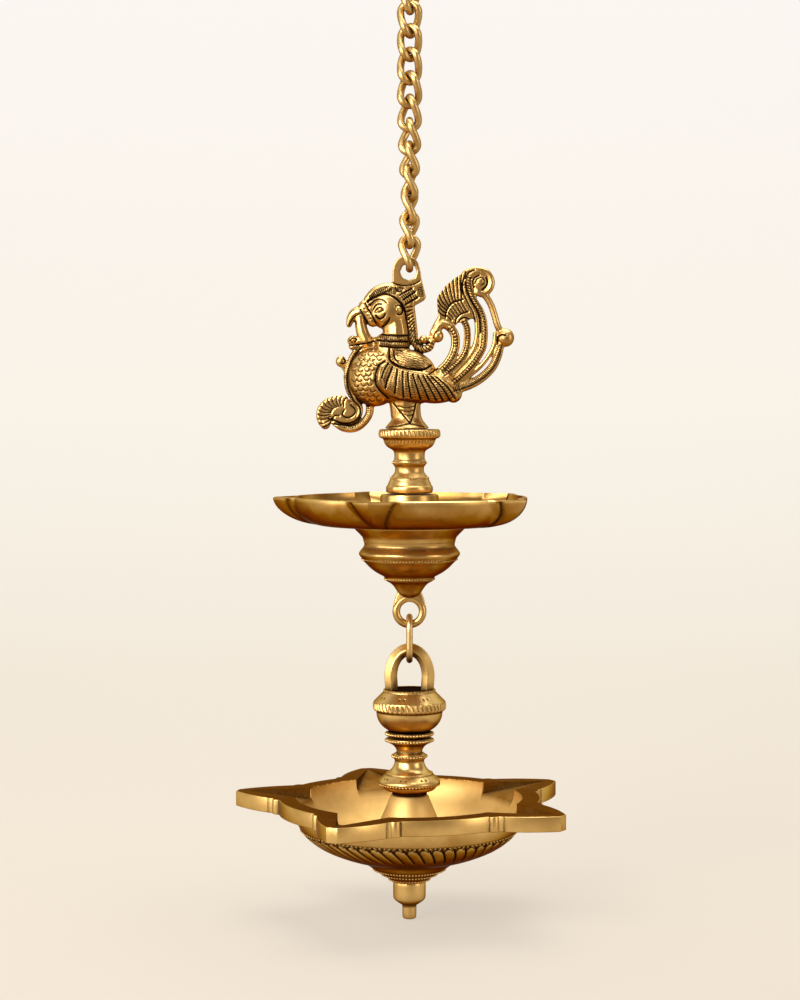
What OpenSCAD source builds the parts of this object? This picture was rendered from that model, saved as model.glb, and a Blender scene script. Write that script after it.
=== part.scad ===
// Hanging chain oil lamp in cast and turned brass: hook, twisted curb chain, bird on a pedestal,
// upper oil dish, joining ring, and a lower oil pan on a turned stem. Millimetres, +Z up.
// The origin is the centre of the hook's bow, where the lamp hangs.

/* [Hook] */
// Inside radius of the hook's bow
hook_bow_r = 8; // [6:0.5:14]
// Width of the hook's bar
hook_bar = 4.5; // [4:0.25:7]
// Thickness of the hook's flat casting
hook_thick = 3.2; // [2.4:0.1:3.4]
// Radius of the hole in the hook's eye
hook_hole_r = 3.6; // [3.2:0.1:5]
// Wall round the hook's eye
hook_eye_wall = 3; // [2:0.25:5]
// Angle of the hook's open tip, from the level
hook_tip_angle = 165; // [140:1:175]
// Width of the hook's swollen tip
hook_tip_w = 5; // [4.8:0.1:6]

/* [Chain] */
// Number of links
chain_links = 12; // [8:1:14]
// Wire diameter
chain_wire = 3.6; // [3:0.1:3.8]
// Rise from one link to the next
chain_pitch = 11.1; // [10.6:0.1:14]
// Width over a link
link_width = 12.2; // [12:0.1:14]
// Twist of a link from its top to its bottom
link_twist = 75; // [66:0.5:100]
// Play between two links that hang in each other
link_play = 0.3; // [0.2:0.05:0.6]

/* [Bird] */
// Height of the hanging eye's centre over the pedestal
bird_eye_h = 74.8; // [70:0.1:84]
// Radius of the hole in the hanging eye
bird_hole_r = 3.8; // [3.4:0.1:4.6]
// Wall over the hanging eye's hole
bird_eye_wall = 3.4; // [2.6:0.1:4]
// Thickness of the crest and its eye
crest_thick = 3.2; // [2.4:0.1:3.4]
// Half thickness of the body
body_half_thick = 10; // [8:0.25:13]
// Half thickness of the head
head_half_thick = 6.5; // [5:0.25:9]
// Thickness of the tail's feather fan
fan_thick = 5; // [3:0.25:7]
// Diameter of the thick tail strands
strand_d = 4; // [3:0.25:5]
// Diameter of the thin tail strands
thin_strand_d = 3.2; // [2.4:0.1:4]
// Outside radius of the band round the chest
chest_band_r = 19.8; // [19:0.1:21]
// Thickness of that band
chest_band_thick = 3.6; // [2.4:0.1:5]
// Radius of the legs where they stand
leg_foot_r = 8; // [6:0.25:10]
// Radius of the peg that holds the bird in its pedestal
peg_r = 2.5; // [2:0.1:3.5]
// Length of that peg
peg_len = 8; // [5:0.5:10]

/* [Pedestal] */
// Radius of the top disc
pedestal_disc_r = 14.9; // [13:0.1:18]
// Height of the top disc
pedestal_disc_h = 4.2; // [3:0.1:6]
// Height of the cup under the disc
pedestal_cup_h = 6.4; // [5:0.1:9]
// Radius of the neck
pedestal_neck_r = 7.3; // [6.5:0.1:9]
// Height of the neck with its bead ring
pedestal_neck_h = 10; // [8:0.1:14]
// Radius of the foot
pedestal_foot_r = 11.3; // [10:0.1:14]
// Height of the flare and foot
pedestal_foot_h = 10.2; // [8:0.1:14]

/* [Upper dish] */
// Radius to the tips of the spouts
dish_tip_r = 65.8; // [60:0.2:72]
// Radius of the round rim between the spouts
dish_rim_r = 56.8; // [52:0.2:60]
// Depth outside, rim to underside
dish_depth = 13.8; // [11:0.1:18]
// Wall of the bowl
dish_wall = 3; // [2:0.1:4]
// Half width of a spout at its root
dish_spout_w = 10.3; // [8:0.1:13]
// Radius of the flat underside
dish_base_r = 40; // [34:0.2:44]
// How hollow the keel of a spout runs, 1 for a plain quarter of an ellipse
dish_keel = 1.15; // [1:0.05:2]
// Radius of the central pillar
dish_pillar_r = 14; // [12:0.1:18]
// Rise of the pillar over the rim
dish_pillar_rise = 1.2; // [0.4:0.1:3]
// Turn of the first spout from the +X direction
dish_turn = 37; // [0:1:72]

/* [Hanger boss] */
// Radius of the flange under the dish
boss_flange_r = 27.2; // [25:0.1:27.4]
// Radius of the waist
boss_waist_r = 21.7; // [19:0.1:23]
// Radius of the sharp edge below the waist
boss_edge_r = 24.4; // [23.5:0.1:27]
// Depth from the flange to the sharp edge
boss_edge_drop = 13.9; // [11:0.1:17]
// Radius of the bead ring
boss_bead_r = 11.7; // [11:0.1:15]
// Depth from the sharp edge to the bead ring
boss_bead_drop = 12; // [9:0.1:15]
// Radius of the neck over the eye
boss_neck_r = 6; // [5:0.1:7.5]
// Depth from the bead ring to the neck
boss_neck_drop = 7.4; // [5:0.1:10]
// Radius of the hole in the boss's eye
boss_hole_r = 4.5; // [4:0.1:5.5]
// Thickness of the round bar of the boss's eye
boss_eye_bar = 3.7; // [3:0.1:4.5]

/* [Joining ring] */
// Wire diameter of the ring
ring_wire = 3.1; // [2.5:0.1:3.6]
// Width over the ring
ring_width = 15.5; // [14:0.25:20]
// Length over the ring
ring_length = 24; // [22:0.25:32]
// Play of the ring in each loop
ring_play = 0.3; // [0.2:0.05:0.6]

/* [Loop knop] */
// Outside radius of the loop
loop_r = 12.1; // [11:0.1:14]
// Thickness of the loop's round bar
loop_bar = 6.2; // [4.5:0.1:6.6]
// Height of the loop over the vase
loop_h = 21.8; // [20:0.1:26]
// Radius of the vase's top disc
knop_disc_r = 12.4; // [11.5:0.1:14]
// Radius of the ribbed band
knop_band_r = 17.7; // [16.5:0.1:20]
// Depth from the top disc to the band
knop_band_drop = 5.8; // [4:0.1:8]
// Height of the ribbed band
knop_band_h = 4.6; // [3:0.1:6]
// Radius of the bowl under the band
knop_bowl_r = 15.6; // [13:0.1:16]
// Height of the bowl under the band
knop_bowl_h = 9.8; // [7:0.1:11]
// Radius of the knop's underside
knop_foot_r = 10; // [8.5:0.1:11.5]

/* [Beaded washer] */
// Radius of the washer
washer_r = 12.1; // [11:0.1:14]
// Thickness of the beaded edge
washer_edge_h = 1.8; // [1.2:0.1:2.4]
// Height of the hub under the edge
washer_hub_h = 1; // [0.4:0.1:1.5]
// Radius of the hub
washer_hub_r = 8; // [6:0.1:9]
// Running gap between the knop and the washer
washer_gap = 0.7; // [0.2:0.05:1]

/* [Stem] */
// Radius of the top flange
stem_flange_r = 12.1; // [11:0.1:14]
// Height of the top flange
stem_flange_h = 2.3; // [1.6:0.1:3.5]
// Radius of the necks
stem_neck_r = 6.2; // [5.6:0.1:7.4]
// Height of the upper neck
stem_neck_h = 5.2; // [4:0.1:8]
// Radius of the bead ring
stem_bead_r = 8.7; // [7.8:0.1:10]
// Height of the bead ring
stem_bead_h = 3; // [2:0.1:4]
// Height of the flare under the bead ring
stem_flare_h = 6.4; // [5:0.1:9]
// Radius of the ridge at the flare's end
stem_ridge_r = 11.5; // [10:0.1:13]
// Radius of the bulb
stem_bulb_r = 14.9; // [13.5:0.1:17]
// Height of the bulb and its underside
stem_bulb_h = 8.9; // [7:0.1:12]
// Radius of the seat on the pan's pillar
stem_seat_r = 8.3; // [7:0.1:9]
// Height of the drawn-in seat
stem_seat_h = 2; // [1:0.1:3]

/* [Lower pan] */
// Radius to the tips of the spouts
pan_tip_r = 86.4; // [80:0.2:94]
// Radius of the round rim between the spouts
pan_rim_r = 63.4; // [59:0.2:67]
// Height of the rim band
pan_rim_h = 7.2; // [6:0.1:10]
// Radius of the bowl outside, under the rim
pan_bowl_r = 55.2; // [50:0.2:58]
// How much narrower the bowl's mouth is than the bowl outside
pan_lip = 0.8; // [0.4:0.1:4]
// Depth of the bowl outside, under the rim
pan_bowl_h = 25.8; // [22:0.2:32]
// Thickness of the bowl's floor
pan_floor = 4; // [3:0.1:6]
// Half width of a spout at its root
pan_spout_w = 18; // [15:0.25:20]
// Radius of the half-round ribs beside each spout
pan_rib_r = 2.8; // [2:0.1:3.5]
// Radius of the central pillar's top
pillar_top_r = 9.1; // [9:0.1:11]
// Radius of the central pillar's base
pillar_base_r = 22; // [16:0.1:24]
// Rise of the pillar over the rim
pillar_rise = 1; // [0:0.1:4]
// Radius where the collar leaves the bowl
collar_top_r = 21.4; // [17:0.2:24]
// Radius of the collar at the bottom
collar_r = 8.5; // [8.2:0.1:10]
// Height of the collar under the bowl
collar_h = 8; // [6:0.1:11]
// Turn of the first spout from the +X direction
pan_turn = 34; // [0:1:72]
// How far each hand-cast spout strays from even spacing, in degrees
pan_spout_stray = [-1, -1, -10, -4, 3];

/* [Bottom finial] */
// Radius of the finial's drum
finial_r = 7.9; // [7:0.1:9]
// Height of the drum
finial_drum_h = 6; // [4:0.1:9]
// Height of the taper
finial_taper_h = 6; // [4:0.1:9]
// Radius of the nub
nub_r = 3.4; // [2.5:0.1:4.5]
// Height of the nub
nub_h = 6.4; // [4:0.1:9]

/* [Studs and fits] */
// Radius of the threaded studs
stud_r = 4; // [3:0.1:4.5]
// Clearance round a stud or peg, on the radius
stud_clear = 0.05; // [0.02:0.01:0.1]
// Length of a stud in the piece it screws into
stud_grip = 13; // [8:0.5:16]
// Room left at the end of a stud
stud_end_room = 0.5; // [0.2:0.1:2]
// Running gap between the pedestal and the dish
dish_turn_gap = 0.4; // [0.2:0.05:1]
// Number of spouts on each dish
spouts = 5; // [3:1:6]
// Radius of a wick groove at the bowl, as cut into the spout's top
groove_r = 5.6; // [4:0.1:6.5]
// Half width of the lower pan's wick channels at the bowl
channel_w = 13.2; // [9:0.2:14]
// Depth of the lower pan's wick channels at the bowl
channel_depth = 5.5; // [3:0.1:6]
// Step left at the outer end of a wick channel
channel_step = 0.6; // [0.4:0.1:1.5]
// Metal left between a wick groove and the tip of its spout
groove_end = 3.4; // [2:0.1:6]

/* [Hidden] */
$fn = 64;
brass = "#c89a3e";
dark_brass = "#8f6a2c";
steel = "#9a958c";

pan_mouth_r = pan_bowl_r - pan_lip;
// How far the collar's top edge goes into the bowl's wall
collar_bite = 0.3;

function link_name(i) = str("chain_link_", i < 10 ? "0" : "", i);

// Levels along the lamp's line, from the hook's bow downwards
hook_eye_z = -(hook_bow_r + hook_bar + hook_hole_r + hook_eye_wall / 2);
link_half = (chain_pitch + chain_wire + link_play) / 2;
link_bend = (link_width - chain_wire) / 2;
first_wire_z = hook_eye_z - hook_hole_r + chain_wire / 2 + link_play;
function link_z(i) = first_wire_z - link_half - (i - 1) * chain_pitch;
last_wire_z = link_z(chain_links) - link_half;
bird_eye_z = last_wire_z - (bird_hole_r - chain_wire / 2 - link_play);
pedestal_z = bird_eye_z - bird_eye_h;
pedestal_h = pedestal_disc_h + pedestal_cup_h + pedestal_neck_h + pedestal_foot_h;
pillar_z = pedestal_z - pedestal_h - dish_turn_gap;
dish_z = pillar_z - dish_pillar_rise;
boss_z = dish_z - dish_depth;
boss_eye_r = boss_hole_r + boss_eye_bar;
boss_neck_z = boss_z - boss_edge_drop - boss_bead_drop - boss_neck_drop;
boss_eye_z = boss_neck_z - boss_eye_r;
ring_half = (ring_length - ring_wire) / 2;
ring_bend = (ring_width - ring_wire) / 2;
ring_top_z = boss_eye_z - boss_hole_r + ring_wire / 2 + ring_play;
ring_z = ring_top_z - ring_half;
loop_gap_z = ring_top_z - 2 * ring_half + ring_wire / 2 + ring_play;
loop_top_z = loop_gap_z + loop_bar;
knop_z = loop_top_z - loop_h;
knop_h = knop_band_drop + knop_band_h + knop_bowl_h;
washer_z = knop_z - knop_h - washer_gap;
stem_z = washer_z - washer_edge_h - washer_hub_h;
stem_h = stem_flange_h + stem_neck_h + stem_bead_h + stem_flare_h + stem_bulb_h + stem_seat_h;
pan_pillar_z = stem_z - stem_h;
pan_z = pan_pillar_z - pillar_rise;
pan_bowl_z = pan_z - pan_rim_h;
pan_foot_z = pan_bowl_z - pan_bowl_h - collar_h;
finial_h = finial_drum_h + finial_taper_h + nub_h;
stud_hole_r = stud_r + stud_clear;

// Direction of the wire at a link's top and bottom, as an angle about the chain's line.
// Wires cross square where two links meet, so what a link's twist lacks of that turns the next one.
wire_cross = 90;
function link_turn(i) = wire_cross - link_twist / 2 - (link_twist - wire_cross) * (chain_links - i);
function link_top_angle(i) = link_turn(i) - link_twist / 2;
function link_bottom_angle(i) = link_turn(i) + link_twist / 2;

// Points of a quarter of an ellipse from [r1, z1] to [r2, z2]; steep_first leaves r1 straight down
quarter_steps = 6;
function quarter(r1, z1, r2, z2, steep_first = true) =
    [for (i = [0:quarter_steps])
        let (a = 90 * i / quarter_steps)
        steep_first
            ? [r2 + (r1 - r2) * cos(a), z1 + (z2 - z1) * sin(a)]
            : [r1 + (r2 - r1) * sin(a), z2 + (z1 - z2) * cos(a)]];

// Solid of revolution from its outer profile, listed from the top down
module turned(profile) {
    top = profile[0][1];
    foot = profile[len(profile) - 1][1];
    rotate_extrude() polygon(concat([[0, top]], profile, [[0, foot]]));
}

// Round hole along the lamp's line between two levels
module bore(r, low, high) {
    translate([0, 0, low]) cylinder(r = r, h = high - low);
}

// Round hole through a flat eye at a level, with both edges eased for the wire that hangs in it
eye_ease = 0.9;
module eye_hole(r, thick, z) {
    translate([0, 0, z]) rotate([90, 0, 0]) {
        cylinder(r = r, h = 2 * thick, center = true);
        for (side = [0, 180]) rotate([side, 0, 0]) translate([0, 0, thick / 2 - eye_ease])
            cylinder(r1 = r, r2 = r + 2 * eye_ease, h = 2 * eye_ease);
    }
}

// Solid of one thickness drawn in the plane of the bird, the hook and the loops
module upright(thick) {
    rotate([90, 0, 0]) linear_extrude(thick, center = true) children();
}

// Torus segment in that plane through three points, with a slightly fuller ball at each end
strand_end = 1.08;
module strand(p, q, s, d) {
    e = q - p;
    f = s - p;
    den = 2 * (e.x * f.y - e.y * f.x);
    c = p + [f.y * (e * e) - e.y * (f * f), e.x * (f * f) - f.x * (e * e)] / den;
    r = norm(p - c);
    start = atan2(p.y - c.y, p.x - c.x);
    sweep = atan2(s.y - c.y, s.x - c.x) - start;
    turn = den > 0 ? (sweep < 0 ? sweep + 360 : sweep) : (sweep > 0 ? sweep - 360 : sweep);
    from = turn > 0 ? start : start + turn;
    translate([c.x, 0, c.y]) rotate([90, 0, 0]) rotate([0, 0, from])
        rotate_extrude(angle = abs(turn)) translate([r, 0]) circle(d = d);
    for (end = [p, s]) translate([end.x, 0, end.y]) sphere(d = strand_end * d);
}

// Ellipsoid of three half sizes, tilted in the plane of the bird
module egg(x, z, half, tilt = 0) {
    translate([x, 0, z]) rotate([0, -tilt, 0]) scale(half) sphere(1);
}

module hanging_hook() {
    mid_r = hook_bow_r + hook_bar / 2;
    reach = 2 * (hook_bow_r + hook_bar);
    eye_r = hook_hole_r + hook_eye_wall;
    color(dark_brass) rotate([0, 0, link_top_angle(1) + 90]) difference() {
        upright(hook_thick) difference() {
            union() {
                difference() {
                    circle(hook_bow_r + hook_bar);
                    polygon([[0, 0], [-hook_bar / 2, -reach], [-reach, -reach],
                             reach * [cos(hook_tip_angle), sin(hook_tip_angle)]]);
                }
                translate(mid_r * [cos(hook_tip_angle), sin(hook_tip_angle)])
                    circle(d = hook_tip_w);
                translate([-hook_bar / 2, hook_eye_z]) square([hook_bar, -hook_eye_z - mid_r]);
                translate([0, hook_eye_z]) circle(eye_r);
            }
            circle(hook_bow_r);
        }
        eye_hole(hook_hole_r, hook_thick, hook_eye_z);
    }
}

// Centre line of a flat link as [x, z, outward x, outward z], then twisted about the chain's line
bend_step = 22.5;
run_steps = 4;
link_run = link_half - link_bend;
link_plan = concat(
    [for (t = [0:bend_step:180]) [link_bend * cos(t), link_run + link_bend * sin(t), cos(t), sin(t)]],
    [for (j = [1:run_steps - 1]) [-link_bend, link_run * (1 - 2 * j / run_steps), -1, 0]],
    [for (t = [180:bend_step:360]) [link_bend * cos(t), link_bend * sin(t) - link_run, cos(t), sin(t)]],
    [for (j = [1:run_steps - 1]) [link_bend, link_run * (2 * j / run_steps - 1), 1, 0]]);
link_rings = len(link_plan);
wire_sides = 10;
function link_angle(i, z) = link_turn(i) - link_twist / 2 * sin(90 * z / link_half);
function twisted(i, x, z, at) = [x * cos(link_angle(i, at)), x * sin(link_angle(i, at)), z];
function link_centre(i, k) = let (p = link_plan[k % link_rings]) twisted(i, p[0], p[1], p[1]);
function unit(v) = v / norm(v);
function link_ring(i, k) =
    let (p = link_plan[k],
         c = link_centre(i, k),
         along = unit(link_centre(i, k + 1) - link_centre(i, k + link_rings - 1)),
         out = twisted(i, p[2], p[3], p[1]),
         side = unit(out - (out * along) * along),
         up = cross(along, side))
    [for (j = [0:wire_sides - 1])
        let (a = 360 * j / wire_sides)
        c + chain_wire / 2 * (cos(a) * side + sin(a) * up)];

module chain_link(i) {
    points = [for (k = [0:link_rings - 1]) each link_ring(i, k)];
    faces = [for (k = [0:link_rings - 1], j = [0:wire_sides - 1])
        let (n = (k + 1) % link_rings,
             m = (j + 1) % wire_sides,
             a = k * wire_sides + j,
             b = k * wire_sides + m,
             c = n * wire_sides + m,
             d = n * wire_sides + j)
        each [[a, c, b], [a, d, c]]];
    color(brass) translate([0, 0, link_z(i)]) polyhedron(points, faces);
}

// Bird, drawn from the middle of the pedestal's top, with its head to the left
module bird_body() {
    egg(-11.8, 26.4, [16.8, body_half_thick, 13.9]);
    egg(5, 21.4, [20, 0.9 * body_half_thick, 9.3], -7);
    egg(0.5, 31.5, [12.5, 0.8 * body_half_thick, 7], -20);
    translate([-6.8, 0, 34]) cylinder(r1 = 9, r2 = 6.2, h = 16);
    translate([-8.4, 0, 41.6]) rotate_extrude() translate([7, 0]) circle(1.6);
    translate([-2.4, 0, 0]) cylinder(r1 = leg_foot_r, r2 = 5.5, h = 15);
}

module bird_head() {
    egg(-9.8, 56, [9.4, head_half_thick, 9.6]);
    translate([-17, 0, 57]) rotate([0, -120, 0]) cylinder(r1 = 4.2, r2 = 0.9, h = 15);
    translate([-25, 0, 53]) rotate([0, 164, 0]) cylinder(r1 = 2, r2 = 3, h = 14);
    egg(-22.4, 40.4, [6.2, 3.6, 3.6]);
    translate([7, 0, 43.2]) sphere(2.3);
    strand([1.5, 60], [2.6, 51], [2, 42], 4);
    strand([2, 42], [4, 39.6], [7.5, 40], 3);
}

module bird_crest() {
    eye_r = bird_hole_r + bird_eye_wall;
    upright(crest_thick) {
        translate([0, bird_eye_h]) circle(eye_r);
        polygon([[-7.9, bird_eye_h + 2.5], [-7.9, 60], [2.2, 57], [7.9, 62.9],
                 [eye_r - 0.6, bird_eye_h + 2.5]]);
    }
}

module bird_tail() {
    strand([13, 26], [22.8, 39.4], [15.1, 50.4], strand_d);
    translate([13.4, 0, 44.6]) sphere(3.6);
    strand([13.4, 46], [12.8, 50], [15.1, 50.4], strand_d * 0.8);
    strand([17, 24], [27, 38.9], [24.8, 54], thin_strand_d);
    strand([19, 21.6], [34.4, 40], [31, 60.5], thin_strand_d);
    strand([20, 20.4], [36, 31.5], [40.8, 48], thin_strand_d * 0.9);
    strand([21, 19.4], [38, 27.4], [44.6, 40.5], strand_d);
    strand([36.2, 64], [40.6, 54.2], [43.4, 44.6], thin_strand_d);
    translate([45.4, 0, 43.7]) sphere(4);
    strand([31, 60.5], [27.8, 68], [32.4, 75], strand_d);
    translate([34.4, 0, 70.6]) rotate([90, 0, 0])
        rotate_extrude() translate([4.4, 0]) circle(d = strand_d);
    egg(34.4, 70.6, [3.6, 2.4, 3.6]);
    upright(fan_thick) polygon([[14, 51.5], [13.2, 62], [19.4, 70.1], [28, 76.2], [33, 76.6],
                                [30.4, 69], [32.4, 60.5], [32.9, 53], [25, 52.4], [20, 49]]);
}

module bird_scroll() {
    upright(chest_band_thick) translate([-10.5, 26.4]) intersection() {
        difference() {
            circle(chest_band_r);
            circle(chest_band_r - 7);
        }
        polygon([[0, 0], [-40, 34], [-40, -38]]);
    }
    strand([-19.2, 13], [-26.2, -0.2], [-36, 2], 3.2);
    egg(-36.6, 7.8, [7.6, 3.6, 7.2]);
    strand([-27.2, 14], [-31, 15.6], [-35, 14], 3);
    translate([-32.6, 0, 32.4]) sphere(2.4);
    strand([-29.6, 29], [-31.6, 30], [-32.6, 32.4], 2.4);
}

module bird() {
    color(brass) translate([0, 0, pedestal_z]) difference() {
        union() {
            bird_body();
            bird_head();
            bird_crest();
            bird_tail();
            bird_scroll();
            bore(peg_r, -peg_len, 1);
        }
        eye_hole(bird_hole_r, crest_thick, bird_eye_h);
    }
}

module bird_pedestal() {
    cup_z = -pedestal_disc_h;
    neck_z = cup_z - pedestal_cup_h;
    flare_z = neck_z - pedestal_neck_h;
    cup_r = pedestal_disc_r - 2.4;
    bead_r = pedestal_neck_r + 1;
    waist_r = pedestal_neck_r - 0.3;
    color(brass) translate([0, 0, pedestal_z]) difference() {
        turned(concat(
            [[pedestal_disc_r - 1, 0], [pedestal_disc_r, -1], [pedestal_disc_r, cup_z + 1]],
            quarter(cup_r, cup_z, pedestal_neck_r, neck_z),
            [[pedestal_neck_r, neck_z - pedestal_neck_h * 0.4],
             [bead_r, neck_z - pedestal_neck_h * 0.5],
             [bead_r, neck_z - pedestal_neck_h * 0.62],
             [waist_r, neck_z - pedestal_neck_h * 0.7]],
            quarter(waist_r, flare_z, pedestal_foot_r - 1, flare_z - pedestal_foot_h * 0.62),
            [[pedestal_foot_r, flare_z - pedestal_foot_h * 0.7],
             [pedestal_foot_r, -pedestal_h + 1],
             [pedestal_foot_r - 1, -pedestal_h]]));
        bore(peg_r + stud_clear, -peg_len - stud_end_room, 1);
        bore(stud_hole_r, -pedestal_h - 1, -pedestal_h + stud_grip + stud_end_room);
    }
}

// Plan of a pointed spout: two arcs that meet at the tip, as wide as asked where they leave the rim
module spout_plan(tip_r, rim_r, half_w) {
    root_r = 0.45 * tip_r;
    half_len = tip_r - root_r;
    reach = (rim_r - root_r) / half_len;
    full_w = half_w / (1 - reach * reach);
    arc_r = (half_len * half_len / full_w + full_w) / 2;
    translate([root_r, 0]) intersection() {
        translate([0, full_w - arc_r]) circle(arc_r);
        translate([0, arc_r - full_w]) circle(arc_r);
    }
}

module each_spout(turn, stray = []) {
    for (k = [0:spouts - 1])
        rotate([0, 0, turn + 360 * k / spouts + (k < len(stray) ? stray[k] : 0)]) children();
}

// Cone-shaped wick groove in a spout's top face, from the bowl out towards the tip
module wick_groove(mouth_r, tip_r) {
    start = mouth_r - 2 * groove_r;
    translate([start, 0, 0]) rotate([0, 90, 0])
        cylinder(r1 = groove_r * 1.35, r2 = 0.4, h = tip_r - groove_end - start);
}

// Wedge-shaped wick channel in a spout's top face, its floor rising from the bowl towards the tip
module wick_channel(mouth_r, tip_r) {
    start = sqrt(mouth_r * mouth_r - channel_w * channel_w);
    run = tip_r - groove_end - start;
    rise = atan2(channel_depth - channel_step, run);
    back = channel_w;
    back_w = channel_w + (channel_w - channel_step) * back / run;
    translate([start, 0, -channel_depth]) rotate([0, -rise, 0]) linear_extrude(3 * channel_depth)
        polygon([[-back, -back_w], [run, -channel_step], [run, channel_step], [-back, back_w]]);
}

module upper_dish() {
    keel_steps = 8;
    keel = [for (i = [0:keel_steps])
        let (a = 90 * i / keel_steps)
        [dish_base_r + (dish_tip_r + 0.5 - dish_base_r) * cos(a), -dish_depth * pow(sin(a), dish_keel)]];
    mouth_r = dish_rim_r - dish_wall;
    floor_z = -dish_depth + dish_wall;
    color(brass) translate([0, 0, dish_z]) difference() {
        union() {
            difference() {
                union() {
                    turned(quarter(dish_rim_r, 0, dish_base_r, -dish_depth));
                    intersection() {
                        turned(keel);
                        translate([0, 0, -dish_depth]) linear_extrude(dish_depth)
                            each_spout(dish_turn) spout_plan(dish_tip_r, dish_rim_r, dish_spout_w);
                    }
                }
                turned(concat([[mouth_r, 1]], quarter(mouth_r, 0, dish_base_r - dish_wall, floor_z)));
                each_spout(dish_turn) wick_groove(mouth_r, dish_tip_r);
            }
            turned([[dish_pillar_r - 0.8, dish_pillar_rise], [dish_pillar_r, dish_pillar_rise - 0.8],
                    [dish_pillar_r, floor_z - 1]]);
        }
        bore(stud_hole_r, -dish_depth - 1, dish_pillar_rise + 1);
    }
}

module upper_stud() {
    high = pillar_z + dish_turn_gap + stud_grip;
    color(steel) bore(stud_r, boss_z - stud_grip, high);
}

module hanger_boss() {
    edge_z = -boss_edge_drop;
    bead_z = edge_z - boss_bead_drop;
    neck_z = bead_z - boss_neck_drop;
    eye_z = boss_eye_z - boss_z;
    color(brass) translate([0, 0, boss_z]) difference() {
        union() {
            turned(concat(
                [[boss_flange_r, 0], [boss_flange_r, -1]],
                quarter(boss_flange_r - 1, -1.6, boss_waist_r, edge_z * 0.66, false),
                quarter(boss_waist_r, edge_z * 0.74, boss_edge_r, edge_z + 0.6),
                [[boss_edge_r, edge_z - 0.4]],
                quarter(boss_edge_r - 0.5, edge_z - 0.8, boss_bead_r + 1, bead_z + 1.4),
                [[boss_bead_r, bead_z + 1], [boss_bead_r, bead_z - 0.6]],
                quarter(boss_bead_r - 1, bead_z - 1, boss_neck_r, neck_z, false),
                [[boss_eye_bar / 2, neck_z - boss_eye_bar]]));
            translate([0, 0, eye_z]) rotate([90, 0, 0]) rotate_extrude()
                translate([boss_hole_r + boss_eye_bar / 2, 0]) circle(d = boss_eye_bar);
        }
        bore(stud_hole_r, -stud_grip - stud_end_room, 1);
    }
}

module joining_ring() {
    run = ring_half - ring_bend;
    color(brass) translate([0, 0, ring_z]) rotate([90, 0, 90]) {
        for (side = [0, 180]) rotate([0, 0, side]) {
            translate([0, run, 0]) rotate_extrude(angle = 180)
                translate([ring_bend, 0]) circle(d = ring_wire);
            translate([ring_bend, 0, 0]) rotate([90, 0, 0])
                cylinder(d = ring_wire, h = 2 * run, center = true);
        }
    }
}

module loop_knop() {
    band_z = -knop_band_drop;
    bowl_z = band_z - knop_band_h;
    bow_z = loop_h - loop_r;
    bow_r = loop_r - loop_bar / 2;
    color(brass) translate([0, 0, knop_z]) difference() {
        union() {
            translate([0, 0, bow_z]) rotate([90, 0, 0])
                rotate_extrude(angle = 180) translate([bow_r, 0]) circle(d = loop_bar);
            for (side = [-1, 1]) translate([side * bow_r, 0, -1]) cylinder(d = loop_bar, h = bow_z + 1);
            turned(concat(
                [[knop_disc_r - 0.6, 0], [knop_disc_r, -0.6]],
                quarter(knop_disc_r, -knop_band_drop * 0.25, knop_band_r - 0.6, band_z),
                [[knop_band_r, band_z - 0.8], [knop_band_r, bowl_z + 0.8], [knop_band_r - 0.6, bowl_z]],
                quarter(knop_bowl_r, bowl_z - 0.4, knop_foot_r, -knop_h)));
        }
        bore(stud_hole_r, -knop_h - 1, -knop_h + stud_grip + stud_end_room);
    }
}

module beaded_washer() {
    foot = -washer_edge_h - washer_hub_h;
    color(brass) translate([0, 0, washer_z]) difference() {
        turned([[washer_r - 0.6, 0], [washer_r, -0.6], [washer_r, 0.6 - washer_edge_h],
                [washer_r - 0.6, -washer_edge_h], [washer_hub_r, -washer_edge_h], [washer_hub_r, foot]]);
        bore(stud_hole_r, foot - 1, 1);
    }
}

module stem() {
    neck_z = -stem_flange_h;
    bead_z = neck_z - stem_neck_h;
    flare_z = bead_z - stem_bead_h;
    bulb_z = flare_z - stem_flare_h;
    seat_z = bulb_z - stem_bulb_h;
    color(brass) translate([0, 0, stem_z]) difference() {
        turned(concat(
            [[stem_flange_r - 0.7, 0], [stem_flange_r, -0.7], [stem_flange_r, neck_z + 0.5]],
            quarter(stem_flange_r - 1, neck_z, stem_neck_r, bead_z + 1, false),
            [[stem_neck_r, bead_z + 0.4],
             [stem_bead_r - 0.6, bead_z],
             [stem_bead_r, bead_z - stem_bead_h / 2],
             [stem_bead_r - 0.6, flare_z]],
            quarter(stem_neck_r + 0.9, flare_z - 1, stem_ridge_r, bulb_z),
            quarter(stem_ridge_r, bulb_z - 0.7, stem_bulb_r, bulb_z - stem_bulb_h * 0.4, false),
            [[stem_bulb_r, bulb_z - stem_bulb_h * 0.55]],
            quarter(stem_bulb_r - 1.6, bulb_z - stem_bulb_h * 0.68, stem_seat_r + 1, seat_z),
            [[stem_seat_r, seat_z], [stem_seat_r, -stem_h]]));
        bore(stud_hole_r, -stem_h - 1, 1);
    }
}

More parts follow.
